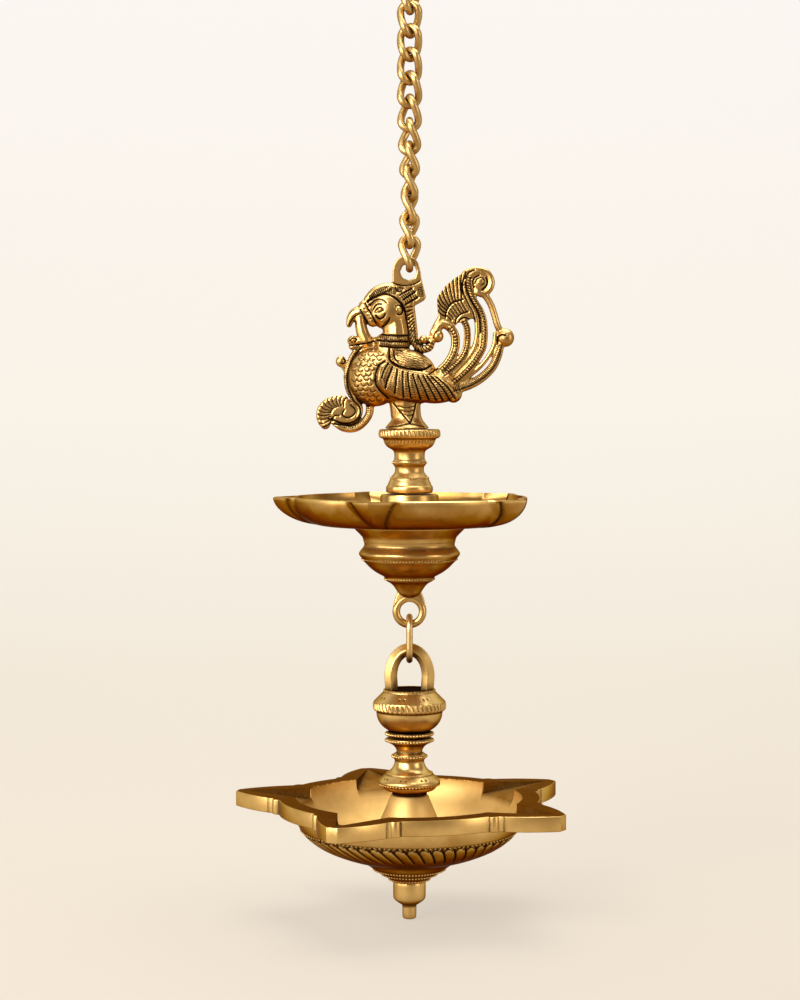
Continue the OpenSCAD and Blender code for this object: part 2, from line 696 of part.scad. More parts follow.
module lower_pan() {
    bowl_z = -pan_rim_h;
    foot_z = bowl_z - pan_bowl_h - collar_h;
    floor_z = bowl_z - pan_bowl_h + pan_floor;
    collar_rise = pan_bowl_h * (1 - sqrt(1 - pow(collar_top_r / pan_bowl_r, 2))) + collar_bite;
    rib_at = asin(pan_spout_w / pan_rim_r) + asin(pan_rib_r / pan_rim_r) / 2;
    color(brass) translate([0, 0, pan_z]) difference() {
        union() {
            difference() {
                union() {
                    turned([[pan_rim_r, 0], [pan_rim_r, bowl_z]]);
                    translate([0, 0, bowl_z]) linear_extrude(pan_rim_h)
                        each_spout(pan_turn, pan_spout_stray) {
                            spout_plan(pan_tip_r, pan_rim_r, pan_spout_w);
                            for (side = [-1, 1]) rotate([0, 0, side * rib_at])
                                translate([pan_rim_r, 0]) circle(pan_rib_r);
                        }
                    turned(concat(
                        [[pan_bowl_r, bowl_z + 1]],
                        quarter(pan_bowl_r, bowl_z, 0.1, bowl_z - pan_bowl_h)));
                    turned([[collar_top_r, bowl_z - pan_bowl_h + collar_rise], [collar_r, foot_z]]);
                }
                turned(concat([[pan_mouth_r, 1]], quarter(pan_mouth_r, 0, 0.1, floor_z)));
                each_spout(pan_turn, pan_spout_stray) wick_channel(pan_mouth_r, pan_tip_r);
            }
            turned([[pillar_top_r, pillar_rise], [pillar_base_r, floor_z]]);
        }
        bore(stud_hole_r, foot_z - 1, pillar_rise + 1);
    }
}

module lower_stud() {
    low = pan_foot_z - finial_drum_h;
    high = knop_z - knop_h + stud_grip;
    color(steel) bore(stud_r, low, high);
}

module bottom_finial() {
    nub_z = -finial_drum_h - finial_taper_h;
    color(brass) translate([0, 0, pan_foot_z]) difference() {
        turned(concat(
            [[finial_r, 0], [finial_r, -finial_drum_h]],
            quarter(finial_r - 0.2, -finial_drum_h - 0.5, nub_r + 0.5, nub_z),
            [[nub_r, nub_z - 0.6]],
            quarter(nub_r, nub_z - nub_h * 0.6, 0.6, -finial_h)));
        bore(stud_hole_r, -finial_drum_h - stud_end_room, 1);
    }
}

hanging_hook();
for (i = [1:chain_links]) chain_link(i);
bird();
bird_pedestal();
upper_dish();
upper_stud();
hanger_boss();
joining_ring();
loop_knop();
beaded_washer();
stem();
lower_pan();
lower_stud();
bottom_finial();
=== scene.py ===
# %% [markdown]
# A hanging oil lamp of cast and turned brass: a twisted chain, a bird that hangs from it, an upper
# dish, a joining ring and a lower pan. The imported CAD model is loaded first, as a fixed frame in
# metres. Every piece below is modelled in millimetres in that frame, so it goes where its CAD node is.

# %% Load the frame
import math

import bmesh
import bpy
import numpy as np
from mathutils import Matrix, Vector


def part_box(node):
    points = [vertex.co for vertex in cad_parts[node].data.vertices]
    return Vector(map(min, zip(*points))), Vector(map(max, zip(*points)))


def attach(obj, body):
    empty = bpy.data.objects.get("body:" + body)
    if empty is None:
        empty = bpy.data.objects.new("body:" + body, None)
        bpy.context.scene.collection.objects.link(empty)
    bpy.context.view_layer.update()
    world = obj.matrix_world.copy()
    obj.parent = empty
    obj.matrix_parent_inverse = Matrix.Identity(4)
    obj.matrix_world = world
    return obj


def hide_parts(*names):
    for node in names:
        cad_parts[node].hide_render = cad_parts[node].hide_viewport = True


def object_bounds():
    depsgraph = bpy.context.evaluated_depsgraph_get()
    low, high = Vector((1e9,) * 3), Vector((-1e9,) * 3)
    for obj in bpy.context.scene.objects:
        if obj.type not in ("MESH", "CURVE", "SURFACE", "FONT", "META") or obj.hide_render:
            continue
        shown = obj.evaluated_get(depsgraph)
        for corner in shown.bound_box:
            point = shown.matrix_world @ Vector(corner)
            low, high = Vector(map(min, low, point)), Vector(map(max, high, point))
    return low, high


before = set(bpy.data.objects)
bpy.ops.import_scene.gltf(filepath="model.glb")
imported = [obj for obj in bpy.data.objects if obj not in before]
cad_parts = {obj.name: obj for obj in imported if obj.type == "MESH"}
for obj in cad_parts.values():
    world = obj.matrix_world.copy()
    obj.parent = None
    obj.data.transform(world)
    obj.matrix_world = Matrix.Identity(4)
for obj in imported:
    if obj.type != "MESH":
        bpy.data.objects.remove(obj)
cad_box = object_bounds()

MM = 0.001


def top(node):
    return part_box(node)[1][2] / MM


def foot(node):
    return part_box(node)[0][2] / MM


# %% [markdown]
# The camera comes next. The photograph looks a little down on the lower pan and straight at the bird,
# so the camera stands level with the bird, about a metre away, and is pitched down a few degrees. A
# long lens keeps the perspective as weak as it is in the photograph.

# %% Camera
lens_mm = 79.2
sensor_mm = 36
pitch_deg = 2.4985
camera_at = (-4.56, -1056, -220.7)
camera_data = bpy.data.cameras.new("camera")
camera_data.lens = lens_mm
camera_data.sensor_width = sensor_mm
camera = bpy.data.objects.new("camera", camera_data)
bpy.context.collection.objects.link(camera)
camera.location = [v * MM for v in camera_at]
camera.rotation_euler = (math.radians(90 - pitch_deg), 0, 0)
bpy.context.scene.camera = camera
bpy.context.scene.view_settings.view_transform = "Standard"
print("camera at", [round(v, 3) for v in camera.location])


# %% [markdown]
# Two small helpers are used by every material. One turns an sRGB hex value to the linear numbers that a
# shader works in. The other adds a node, sets it up and wires its inputs in one line.

# %% Colour and node helpers
def linear(code):
    channels = [int(code[i:i + 2], 16) / 255 for i in (1, 3, 5)]
    curve = [c / 12.92 if c <= 0.04045 else ((c + 0.055) / 1.055) ** 2.4 for c in channels]
    return (*curve, 1)


def add_node(tree, kind, inputs=None, **settings):
    node = tree.nodes.new(kind)
    for key, value in settings.items():
        setattr(node, key, value)
    for socket, source in (inputs or {}).items():
        if isinstance(source, bpy.types.NodeSocket):
            tree.links.new(source, node.inputs[socket])
        else:
            node.inputs[socket].default_value = source
    return node


print("brass in linear light", [round(c, 3) for c in linear("#c8963e")])

# %% [markdown]
# The stage is a sheet of pale cream paper that lies under the lamp and sweeps up behind it. The paper
# is a plain diffuse surface that takes the lamp's shadow. For the camera and for reflections most of
# its colour is given by Light Path, so it stays pale with little light on the lamp. Its colour is a
# painted falloff of light: darkest at the front edge, which the lamp's undersides reflect, and paler
# along the floor and up the backdrop.

# %% Paper sweep
floor_z = cad_box[0][2] - 0.5 * MM
sweep_front = -4
sweep_back = 1.3
sweep_r = 1.1
sweep_top = 6
sweep_half = 5
sweep_bends = 12
sweep = bmesh.new()
edge = [(sweep_front, 0), (sweep_back, 0)]
for i in range(1, sweep_bends + 1):
    a = math.radians(90 * i / sweep_bends)
    edge.append((sweep_back + sweep_r * math.sin(a), sweep_r * (1 - math.cos(a))))
edge.append((sweep_back + sweep_r, sweep_top))
line = [sweep.verts.new((-sweep_half, y, floor_z + z)) for y, z in edge]
edges = [sweep.edges.new(pair) for pair in zip(line[:-1], line[1:])]
made = bmesh.ops.extrude_edge_only(sweep, edges=edges)["geom"]
bmesh.ops.translate(sweep, verts=[v for v in made if isinstance(v, bmesh.types.BMVert)],
                    vec=(2 * sweep_half, 0, 0))
for face in sweep.faces:
    face.smooth = True
sweep_mesh = bpy.data.meshes.new("paper_sweep")
sweep.to_mesh(sweep_mesh)
sweep.free()
paper = bpy.data.objects.new("paper_sweep", sweep_mesh)
bpy.context.collection.objects.link(paper)

cream = bpy.data.materials.new("cream_paper")
cream.use_nodes = True
tree = cream.node_tree
tree.nodes.clear()
place = add_node(tree, "ShaderNodeTexCoord")
split = add_node(tree, "ShaderNodeSeparateXYZ", {0: place.outputs["Object"]})
along = add_node(tree, "ShaderNodeMath", {0: split.outputs["Y"], 1: split.outputs["Z"]}, operation="ADD")
near_end = floor_z - 0.9
far_end = 2.8
own_near = 0.74
own_far = 0.92
# Painted falloff of light: the paper is dark at the front and grows paler towards the top of the
# backdrop.
far = add_node(tree, "ShaderNodeMapRange", {0: along.outputs[0], 1: near_end, 2: far_end})
tone = add_node(tree, "ShaderNodeValToRGB", {0: far.outputs[0]})
stops = tone.color_ramp.elements
stops[1].position = 0.175
stops[0].color = linear("#97866f")
stops[1].color = linear("#e2d8ca")
stops.new(0.53).color = linear("#f7f0e3")
stops.new(0.75).color = linear("#fdf8ee")
stops.new(1).color = linear("#fffbf6")
matte = add_node(tree, "ShaderNodeBsdfDiffuse", {0: tone.outputs[0]})
shown = add_node(tree, "ShaderNodeEmission", {0: tone.outputs[0], 1: 1})
path = add_node(tree, "ShaderNodeLightPath")
direct = add_node(tree, "ShaderNodeMath", {0: path.outputs["Is Camera Ray"],
                                           1: path.outputs["Is Glossy Ray"]}, operation="MAXIMUM")
seen = add_node(tree, "ShaderNodeMath", {0: direct.outputs[0], 1: path.outputs["Is Transmission Ray"]},
                operation="MAXIMUM")
most = add_node(tree, "ShaderNodeMapRange",
                {0: along.outputs[0], 1: near_end, 2: far_end, 3: own_near, 4: own_far})
share = add_node(tree, "ShaderNodeMath", {0: seen.outputs[0], 1: most.outputs[0]}, operation="MULTIPLY")
both = add_node(tree, "ShaderNodeMixShader",
                {0: share.outputs[0], 1: matte.outputs[0], 2: shown.outputs[0]})
add_node(tree, "ShaderNodeOutputMaterial", {0: both.outputs[0]})
sweep_mesh.materials.append(cream)
print("paper sweep at z", round(floor_z, 4))

# %% [markdown]
# Polished metal shows what stands round it, so the lights are soft boxes: large area lamps. The main
# one is high at the front left, where the photograph's highlights are. A second one lies overhead and
# gives the soft shadow under the pan. A narrow one at the far left draws a thin bright line down each
# turned side, and a weak one fills the right side. The room behind the camera is dim.

# %% Soft boxes and room
lamp_middle = Vector((0, 0, -0.3))


def soft_box(name, place, width, height, watts, colour):
    data = bpy.data.lights.new(name, "AREA")
    data.shape = "RECTANGLE"
    data.size = width
    data.size_y = height
    data.energy = watts
    data.color = linear(colour)[:3]
    lamp = bpy.data.objects.new(name, data)
    bpy.context.collection.objects.link(lamp)
    lamp.location = place
    lamp.rotation_euler = (lamp_middle - Vector(place)).to_track_quat("-Z", "Y").to_euler()
    return lamp


soft_box("key_box", (-0.75, -1.0, 0.2), width=0.7, height=1.0, watts=21, colour="#fffaf2")
soft_box("top_box", (0.1, 0.1, 1.0), width=1.3, height=1.1, watts=23, colour="#fffcf6")
soft_box("left_strip", (-1.0, -0.3, -0.3), width=0.35, height=0.9, watts=4.5, colour="#fffaf2")
soft_box("fill_box", (1.2, -0.7, -0.1), width=0.5, height=1.0, watts=5, colour="#fff6ea")
room = bpy.data.worlds.new("room")
bpy.context.scene.world = room
room.use_nodes = True
glow = room.node_tree.nodes["Background"]
glow.inputs["Color"].default_value = linear("#8c7a62")
glow.inputs["Strength"].default_value = 1
print("lights", len(bpy.data.lights))


# %% [markdown]
# All the brass is the same family of finish: cast yellow brass, turned or filed, polished, then washed
# with a dark stain that stays in the hollows. The eye sees pale highlights, orange-brown sides and dark
# edges, so a grazing reflection is tinted brown. Each mesh carries numbers per vertex. The first says how
# much stain is left there, and in a few shaded places it carries painted shade in the stain's colour. The
# second says how far the metal has gone brown, and it also grows the more a surface faces down, which is
# painted shade on the undersides. The third, satin, marks where it is brushed and not polished. The
# shader breaks them up with noise, and adds a fine cast grain as bump and roughness.

# %% Brass finishes
cloud_mm = 14
satin_roughness = 0.24
stain_roughness = 0.22
edge_tint = "#6e4c24"


def brass(name, bright, deep, stain, roughness, grain_mm, grain_depth):
    material = bpy.data.materials.new(name)
    material.use_nodes = True
    tree = material.node_tree
    tree.nodes.clear()
    place = add_node(tree, "ShaderNodeTexCoord")
    cloud = add_node(tree, "ShaderNodeTexNoise", {"Vector": place.outputs["Object"], "Detail": 4,
                                                  "Scale": 1000 / cloud_mm, "Roughness": 0.55})
    grain = add_node(tree, "ShaderNodeTexNoise", {"Vector": place.outputs["Object"], "Detail": 3,
                                                  "Scale": 1000 / grain_mm, "Roughness": 0.6})
    patchy = add_node(tree, "ShaderNodeMapRange",
                      {0: cloud.outputs[0], 1: 0.3, 2: 0.7, 3: -0.12, 4: 0.22})
    # This number mixes in the deep colour: real browning in a few places, and painted shade on what faces
    # down.
    browning_and_shade = add_node(tree, "ShaderNodeAttribute", attribute_name="tarnish_and_shade")
    tone = add_node(tree, "ShaderNodeMath", {0: browning_and_shade.outputs["Fac"], 1: patchy.outputs[0]},
                    operation="ADD", use_clamp=True)
    metal = add_node(tree, "ShaderNodeMix", {0: tone.outputs[0], 6: linear(bright), 7: linear(deep)},
                     data_type="RGBA")
    # This number mixes in the stain colour: real stain in the hollows, and painted shade in a few shaded
    # places.
    patina_and_shade_attr = add_node(tree, "ShaderNodeAttribute", attribute_name="patina_and_shade")
    uneven = add_node(tree, "ShaderNodeMath", {0: grain.outputs[0], 1: 0.5}, operation="SUBTRACT")
    broken = add_node(tree, "ShaderNodeMath", {0: uneven.outputs[0], 1: 0.5, 2: patina_and_shade_attr.outputs["Fac"]},
                      operation="MULTIPLY_ADD")
    stain_and_shade_amount = add_node(tree, "ShaderNodeMapRange", {0: broken.outputs[0], 1: 0.12, 2: 0.8},
                    interpolation_type="SMOOTHSTEP")
    colour = add_node(tree, "ShaderNodeMix", {0: stain_and_shade_amount.outputs[0], 6: metal.outputs[2], 7: linear(stain)},
                      data_type="RGBA")
    shine = add_node(tree, "ShaderNodeMapRange", {0: cloud.outputs[0], 1: 0.3, 2: 0.75, 3: roughness,
                                                  4: roughness + 0.1})
    satin = add_node(tree, "ShaderNodeAttribute", attribute_name="satin")
    brushed = add_node(tree, "ShaderNodeMath", {0: satin.outputs["Fac"], 1: satin_roughness,
                                                2: shine.outputs[0]}, operation="MULTIPLY_ADD")
    dull = add_node(tree, "ShaderNodeMath", {0: stain_and_shade_amount.outputs[0], 1: stain_roughness,
                                             2: brushed.outputs[0]}, operation="MULTIPLY_ADD")
    bump = add_node(tree, "ShaderNodeBump", {"Strength": 0.6, "Distance": grain_depth * MM,
                                             "Height": grain.outputs[0]})
    shader = add_node(tree, "ShaderNodeBsdfPrincipled", {"Base Color": colour.outputs[2], "Metallic": 1,
                                                         "Roughness": dull.outputs[0],
                                                         "Specular Tint": linear(edge_tint),
                                                         "Normal": bump.outputs[0]})
    add_node(tree, "ShaderNodeOutputMaterial", {0: shader.outputs[0]})
    return material


turned_brass = brass("turned_polished_brass", bright="#f0cc84", deep="#96661f", stain="#341b09",
                     roughness=0.28, grain_mm=0.7, grain_depth=0.02)
cast_brass = brass("antiqued_cast_brass", bright="#edc985", deep="#9a6822", stain="#231408",
                   roughness=0.28, grain_mm=0.6, grain_depth=0.06)
wire_brass = brass("drawn_brass_wire", bright="#eacb8c", deep="#9c7030", stain="#3a2410",
                   roughness=0.34, grain_mm=0.8, grain_depth=0.012)
print("brass finishes", [m.name for m in (turned_brass, cast_brass, wire_brass)])

# %% [markdown]
# The two studs are hidden in the turned pieces. They are plain rolled steel rod with a thread, grey and
# half bright, so their CAD meshes stay and get a finish with the thread's pitch as fine bands.

# %% Steel of the studs
thread_pitch_mm = 1.25
stud_steel = bpy.data.materials.new("rolled_steel_thread")
stud_steel.use_nodes = True
tree = stud_steel.node_tree
place = add_node(tree, "ShaderNodeTexCoord")
pitch = add_node(tree, "ShaderNodeTexWave", {"Vector": place.outputs["Object"],
                                             "Scale": 1000 / thread_pitch_mm / 6.28}, bands_direction="Z")
groove = add_node(tree, "ShaderNodeBump", {"Distance": 0.4 * MM, "Height": pitch.outputs[0]})
shader = tree.nodes["Principled BSDF"]
shader.inputs["Base Color"].default_value = linear("#9a958c")
shader.inputs["Metallic"].default_value = 1
shader.inputs["Roughness"].default_value = 0.4
tree.links.new(groove.outputs[0], shader.inputs["Normal"])
for stud in ("upper_stud", "lower_stud"):
    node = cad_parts[stud]
    node.data.materials.clear()
    node.data.materials.append(stud_steel)
print("steel on", [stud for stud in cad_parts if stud.endswith("_stud")])


# %% [markdown]
# Every piece ends in the same few steps: turn its faces outwards, darken what looks down with painted
# shade, scale from millimetres to metres, shade it smooth with crisp edges kept, hang it on the body it
# rides on, and hide the CAD nodes it stands for.

# %% Finish a piece
underside_shade = 0.7


def finish_piece(name, bm, body, nodes, material, crisp_deg=38, sideways_shade=0.28):
    bmesh.ops.recalc_face_normals(bm, faces=bm.faces)
    bm.normal_update()
    # Painted shade: the more a vertex faces down, the more it turns to the deep, browned colour.
    tarnish_and_shade = bm.verts.layers.float.get("tarnish_and_shade") or bm.verts.layers.float.new("tarnish_and_shade")
    for v in bm.verts:
        v[tarnish_and_shade] = min(1, max(v[tarnish_and_shade], sideways_shade - underside_shade * v.normal.z))
    bmesh.ops.scale(bm, vec=(MM, MM, MM), verts=bm.verts)
    mesh = bpy.data.meshes.new(name)
    bm.to_mesh(mesh)
    bm.free()
    mesh.polygons.foreach_set("use_smooth", [True] * len(mesh.polygons))
    mesh.set_sharp_from_angle(angle=math.radians(crisp_deg))
    mesh.materials.append(material)
    piece = bpy.data.objects.new(name, mesh)
    bpy.context.collection.objects.link(piece)
    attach(piece, body)
    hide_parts(*nodes)
    triangles = sum(len(p.vertices) - 2 for p in mesh.polygons)
    print(name, "vertices", len(mesh.vertices), "triangles", triangles)
    return piece


# %% [markdown]
# Wire pieces are swept along a path, as a smith bends drawn wire round a peg. A curve with a round
# bevel does that, and gives an even tube that closes on itself. A loop's path is two bends and two
# straight runs. Stain stays where two links rub, so it is put on by nearness to such places.

# %% Swept wire
def swept(points, thickness, closed, radii=None, round_steps=5):
    curve = bpy.data.curves.new("path", "CURVE")
    curve.dimensions = "3D"
    curve.bevel_depth = thickness / 2
    curve.bevel_resolution = round_steps
    curve.use_fill_caps = not closed
    spline = curve.splines.new("POLY")
    spline.points.add(len(points) - 1)
    for i, (knot, place) in enumerate(zip(spline.points, points)):
        knot.co = (*place, 1)
        if radii is not None:
            knot.radius = radii[i]
    spline.use_cyclic_u = closed
    holder = bpy.data.objects.new("path", curve)
    bm = bmesh.new()
    bm.from_mesh(holder.to_mesh())
    holder.to_mesh_clear()
    bpy.data.objects.remove(holder)
    bpy.data.curves.remove(curve)
    bmesh.ops.remove_doubles(bm, verts=bm.verts, dist=1e-4)
    return bm


def loop_path(half, bend, bend_steps=16, run_steps=8):
    run = half - bend
    path = []
    for side in (0, math.pi):
        for i in range(bend_steps + 1):
            a = side + math.pi * i / bend_steps
            path.append((bend * math.cos(a), math.copysign(run, math.pi - side - 1) + bend * math.sin(a)))
        for i in range(1, run_steps):
            x = -bend if side == 0 else bend
            z = run * (1 - 2 * i / run_steps)
            path.append((x, z if side == 0 else -z))
    return path


def stain_near(bm, places, reach, amount):
    layer = bm.verts.layers.float.get("patina_and_shade") or bm.verts.layers.float.new("patina_and_shade")
    targets = np.array(places)
    for v in bm.verts:
        gap = np.sqrt(((targets - np.array(v.co)) ** 2).sum(1)).min()
        v[layer] = max(v[layer], amount * math.exp(-(gap / reach) ** 2))


print("a loop's path has", len(loop_path(2, 1)), "points")

# %% [markdown]
# The chain's links are flat loops with straight sides, twisted by about 75 degrees so that the chain
# lies round. The path is that loop, turned about the chain's line as it goes down. Each link starts
# where the one above it leaves off, a quarter turn round, so the chain narrows and opens again as it
# does in the photograph.

# %% Chain links
chain_links = 12
chain_wire = 3.6
chain_pitch = 11.1
link_half = 7.5
link_bend = 4.3
link_twist = 75
wire_cross = 90
first_link_z = (top("chain_link_01") + foot("chain_link_01")) / 2


def link_turn(i):
    return wire_cross - link_twist / 2 - (link_twist - wire_cross) * (chain_links - i)


def link_centre_line(i):
    turn = link_turn(i)
    middle = first_link_z - (i - 1) * chain_pitch
    line = []
    for x, z in loop_path(link_half, link_bend):
        angle = math.radians(turn - link_twist / 2 * math.sin(math.pi / 2 * z / link_half))
        line.append((x * math.cos(angle), x * math.sin(angle), middle + z))
    return line


for i in range(1, chain_links + 1):
    link = swept(link_centre_line(i), chain_wire, True)
    middle = first_link_z - (i - 1) * chain_pitch
    rubs = [(0, 0, middle + side * (link_half - chain_wire / 2)) for side in (-1, 1)]
    stain_near(link, rubs, reach=2.6, amount=0.75)
    finish_piece(f"twisted_link_{i:02d}", link, f"link_{i:02d}", [f"chain_link_{i:02d}"],
                 wire_brass)

# %% [markdown]
# The ring that joins the two lamps is a long loop of plain wire, bent and butted, and seen edge-on. It
# is swept in the same way, without a twist.

# %% Joining ring
ring_wire = 3.1
ring_bend = 6.2
ring_half = 10.45
ring_z = (top("joining_ring") + foot("joining_ring")) / 2
ring = swept([(0, x, ring_z + z) for x, z in loop_path(ring_half, ring_bend)], ring_wire, True)
stain_near(ring, [(0, 0, ring_z + side * (ring_half - 1.5)) for side in (-1, 1)], reach=2.4,
           amount=0.7)
finish_piece("open_ring", ring, "ring", ["joining_ring"], wire_brass)

# %% [markdown]
# Turned pieces are spun from a profile, as a lathe leaves them. The profile is a list of radius and
# height, from the top down, and its corners are cut a few times so that they read as worn metal. Each
# vertex remembers its row in the profile, so later steps can work by row. Where the profile is hollow,
# stain is left.

# %% Turned work
def worn(points, rounds=2, corner=0.22):
    line = [np.array(p, float) for p in points]
    for _ in range(rounds):
        cut = [line[0]]
        for p, q in zip(line[:-1], line[1:]):
            cut += [(1 - corner) * p + corner * q, corner * p + (1 - corner) * q]
        line = cut + [line[-1]]
    return line


def profile_hollow(line, reach=0.8, full=0.3, most=0.6):
    line = np.array(line)
    run = np.concatenate([[0], np.cumsum(np.linalg.norm(np.diff(line, axis=0), axis=1))])
    before = np.stack([np.interp(run - reach, run, line[:, k]) for k in (0, 1)], 1)
    after = np.stack([np.interp(run + reach, run, line[:, k]) for k in (0, 1)], 1)
    chord = after - before
    out = np.stack([-chord[:, 1], chord[:, 0]], 1)
    out /= np.maximum(np.linalg.norm(out, axis=1), 1e-6)[:, None]
    return most * np.clip((((before + after) / 2 - line) * out).sum(1) / full, 0, 1)


def spun(line, steps, turn=0):
    bm = bmesh.new()
    row = bm.verts.layers.int.new("row")
    patina_and_shade = bm.verts.layers.float.new("patina_and_shade")
    start = []
    for i, ((r, z), hollow) in enumerate(zip(line, profile_hollow(line))):
        v = bm.verts.new((r * math.cos(turn), r * math.sin(turn), z))
        v[row] = i
        v[patina_and_shade] = hollow
        start.append(v)
    for pair in zip(start[:-1], start[1:]):
        bm.edges.new(pair)
    bmesh.ops.spin(bm, geom=bm.verts[:] + bm.edges[:], cent=(0, 0, 0), axis=(0, 0, 1),
                   angle=2 * math.pi, steps=steps, use_merge=True)
    bmesh.ops.remove_doubles(bm, verts=bm.verts, dist=1e-4)
    return bm


def join(bm, other):
    mesh = bpy.data.meshes.new("joined")
    other.to_mesh(mesh)
    other.free()
    bm.from_mesh(mesh)
    bpy.data.meshes.remove(mesh)


def push_face(bm, face, move):
    made = bmesh.ops.extrude_face_region(bm, geom=[face])["geom"]
    bmesh.ops.translate(bm, verts=[v for v in made if isinstance(v, bmesh.types.BMVert)], vec=move)


def raise_to(bm, z):
    bmesh.ops.translate(bm, verts=bm.verts, vec=(0, 0, z))
    return bm


print("a worn corner becomes", len(worn([(1, 0), (1, 1), (0, 1)])), "points")


# %% [markdown]
# Small ornament goes on the turned walls next. Ribs are pressed in with a knurl, beads are cast or
# soldered on in a row, and rosettes are struck with a punch of six dots. The first and last move the
# wall's own vertices, and beads are small spheres set in a stained groove.

# %% Ribs, beads and stamps
def ribs(bm, low, high, count, depth, slant, stain):
    patina_and_shade = bm.verts.layers.float["patina_and_shade"]
    for v in bm.verts:
        if low <= v.co.z <= high:
            angle = math.atan2(v.co.y, v.co.x)
            valley = 0.5 - 0.5 * math.cos(count * angle + slant * (v.co.z - low))
            edge = min(1, 4 * (v.co.z - low) / (high - low), 4 * (high - v.co.z) / (high - low))
            r = math.hypot(v.co.x, v.co.y)
            scale = 1 - depth * valley * edge / r
            v.co.x *= scale
            v.co.y *= scale
            v[patina_and_shade] = max(v[patina_and_shade], stain * valley ** 2 * edge)


def beads(bm, r, z, count, size, groove_stain=0.6):
    patina_and_shade = bm.verts.layers.float["patina_and_shade"]
    for v in bm.verts:
        gap = math.hypot(math.hypot(v.co.x, v.co.y) - r, v.co.z - z)
        v[patina_and_shade] = max(v[patina_and_shade], groove_stain * math.exp(-(gap / (0.7 * size)) ** 2))
    row = bmesh.new()
    place = Matrix.Translation((r, 0, z))
    bmesh.ops.create_uvsphere(row, u_segments=8, v_segments=5, radius=size / 2, matrix=place)
    bmesh.ops.spin(row, geom=row.verts[:] + row.edges[:] + row.faces[:], cent=(0, 0, 0), axis=(0, 0, 1),
                   angle=2 * math.pi * (count - 1) / count, steps=count - 1, use_duplicate=True)
    join(bm, row)


def stamped(bm, r, z, count, turn, petals=6, spread=1.25, dot=0.55, depth=0.45):
    patina_and_shade = bm.verts.layers.float["patina_and_shade"]
    dots = []
    for i in range(count):
        a = turn + 2 * math.pi * i / count
        for k in range(petals):
            b = 2 * math.pi * k / petals
            side = spread * math.cos(b) / r
            dots.append((r * math.cos(a + side), r * math.sin(a + side), z + spread * math.sin(b)))
    dots = np.array(dots)
    for v in bm.verts:
        if abs(v.co.z - z) < 2 * spread:
            gap = np.sqrt(((dots - np.array(v.co)) ** 2).sum(1)).min()
            if gap < 2 * dot:
                amount = math.exp(-(gap / dot) ** 2)
                v[patina_and_shade] = max(v[patina_and_shade], amount)
                shrink = 1 - depth * amount / math.hypot(v.co.x, v.co.y)
                v.co.x *= shrink
                v.co.y *= shrink


def darken_where(bm, test, amount):
    patina_and_shade = bm.verts.layers.float["patina_and_shade"]
    for v in bm.verts:
        if test(math.hypot(v.co.x, v.co.y), v.co.z):
            v[patina_and_shade] = amount


print("ornament", [tool.__name__ for tool in (ribs, beads, stamped, darken_where)])

# %% [markdown]
# The chain hangs from a hook of bent bar: an open bow that goes over a ceiling hook, with a closed eye
# under it for the first link and a small ball at its tip. The bow and the eye are swept like the wire.

# %% Hanging hook
bow_r = 10.2
bow_bar = 4.3
bow_start = 165
bow_sweep = 255
bow_steps = 40
tip_r = 2.4
eye_mid_r = 5.1
eye_wire = 2.9
eye_down = -17.6
bow = []
for i in range(bow_steps + 1):
    a = math.radians(bow_start - bow_sweep * i / bow_steps)
    bow.append((bow_r * math.cos(a), 0, bow_r * math.sin(a)))
bow.append((0, 0, eye_down + eye_mid_r))
hook = swept(bow, bow_bar, False)
tip = Matrix.Translation(bow[0])
bmesh.ops.create_uvsphere(hook, u_segments=16, v_segments=10, radius=tip_r, matrix=tip)
eye_path = []
eye_steps = 32
for i in range(eye_steps):
    a = 2 * math.pi * i / eye_steps
    eye_path.append((eye_mid_r * math.cos(a), 0, eye_down + eye_mid_r * math.sin(a)))
join(hook, swept(eye_path, eye_wire, True))
stain_near(hook, [(0, 0, eye_down - eye_mid_r + 1.4), (0, 0, eye_down + eye_mid_r)], reach=2.4,
           amount=0.6)
hook_turn = math.radians(link_turn(1) - link_twist / 2 + wire_cross)
bmesh.ops.rotate(hook, verts=hook.verts, cent=(0, 0, 0), matrix=Matrix.Rotation(hook_turn, 3, "Z"))
finish_piece("bent_hook", hook, "hook", ["hanging_hook"], wire_brass)

# %% [markdown]
# The bird stands on a small turned pedestal: a disc with slanted ribs, a cup, a neck with two lines of
# tiny beads, and a flaring foot. The radii and levels are read off the photograph's outline.

# %% Pedestal
pedestal_h = top("bird_pedestal") - foot("bird_pedestal")
line = worn([(0, 0), (13.2, 0), (14.3, -0.2), (14.9, -1.2), (14.9, -3.2), (14.2, -4.2), (12.9, -4.6),
             (12.5, -5.2), (12.2, -6.6), (10.8, -8.6), (8.4, -9.9), (7.5, -10.8), (7.3, -12.2),
             (7.3, -14.4), (7.9, -15.2), (8.2, -16.2), (7.8, -17.2), (7.0, -18.0), (6.9, -19.6),
             (7.2, -21.0), (8.4, -22.4), (9.2, -23.3), (9.3, -24.0), (10.1, -25.6), (10.6, -27.0),
             (11.2, -27.6), (11.3, -28.6), (11.2, -30.0), (10.4, -pedestal_h), (0, -pedestal_h)])
pedestal = spun(line, 288)
ribs(pedestal, low=-4.4, high=-0.5, count=44, depth=0.5, slant=0.9, stain=0.5)
ribs(pedestal, low=-7.4, high=-5.0, count=44, depth=0.35, slant=-0.9, stain=0.6)
beads(pedestal, r=8.1, z=-16.2, count=40, size=0.9)
beads(pedestal, r=9.2, z=-23.4, count=44, size=0.85)
finish_piece("turned_pedestal", raise_to(pedestal, top("bird_pedestal")), "bird", ["bird_pedestal"],
             turned_brass)

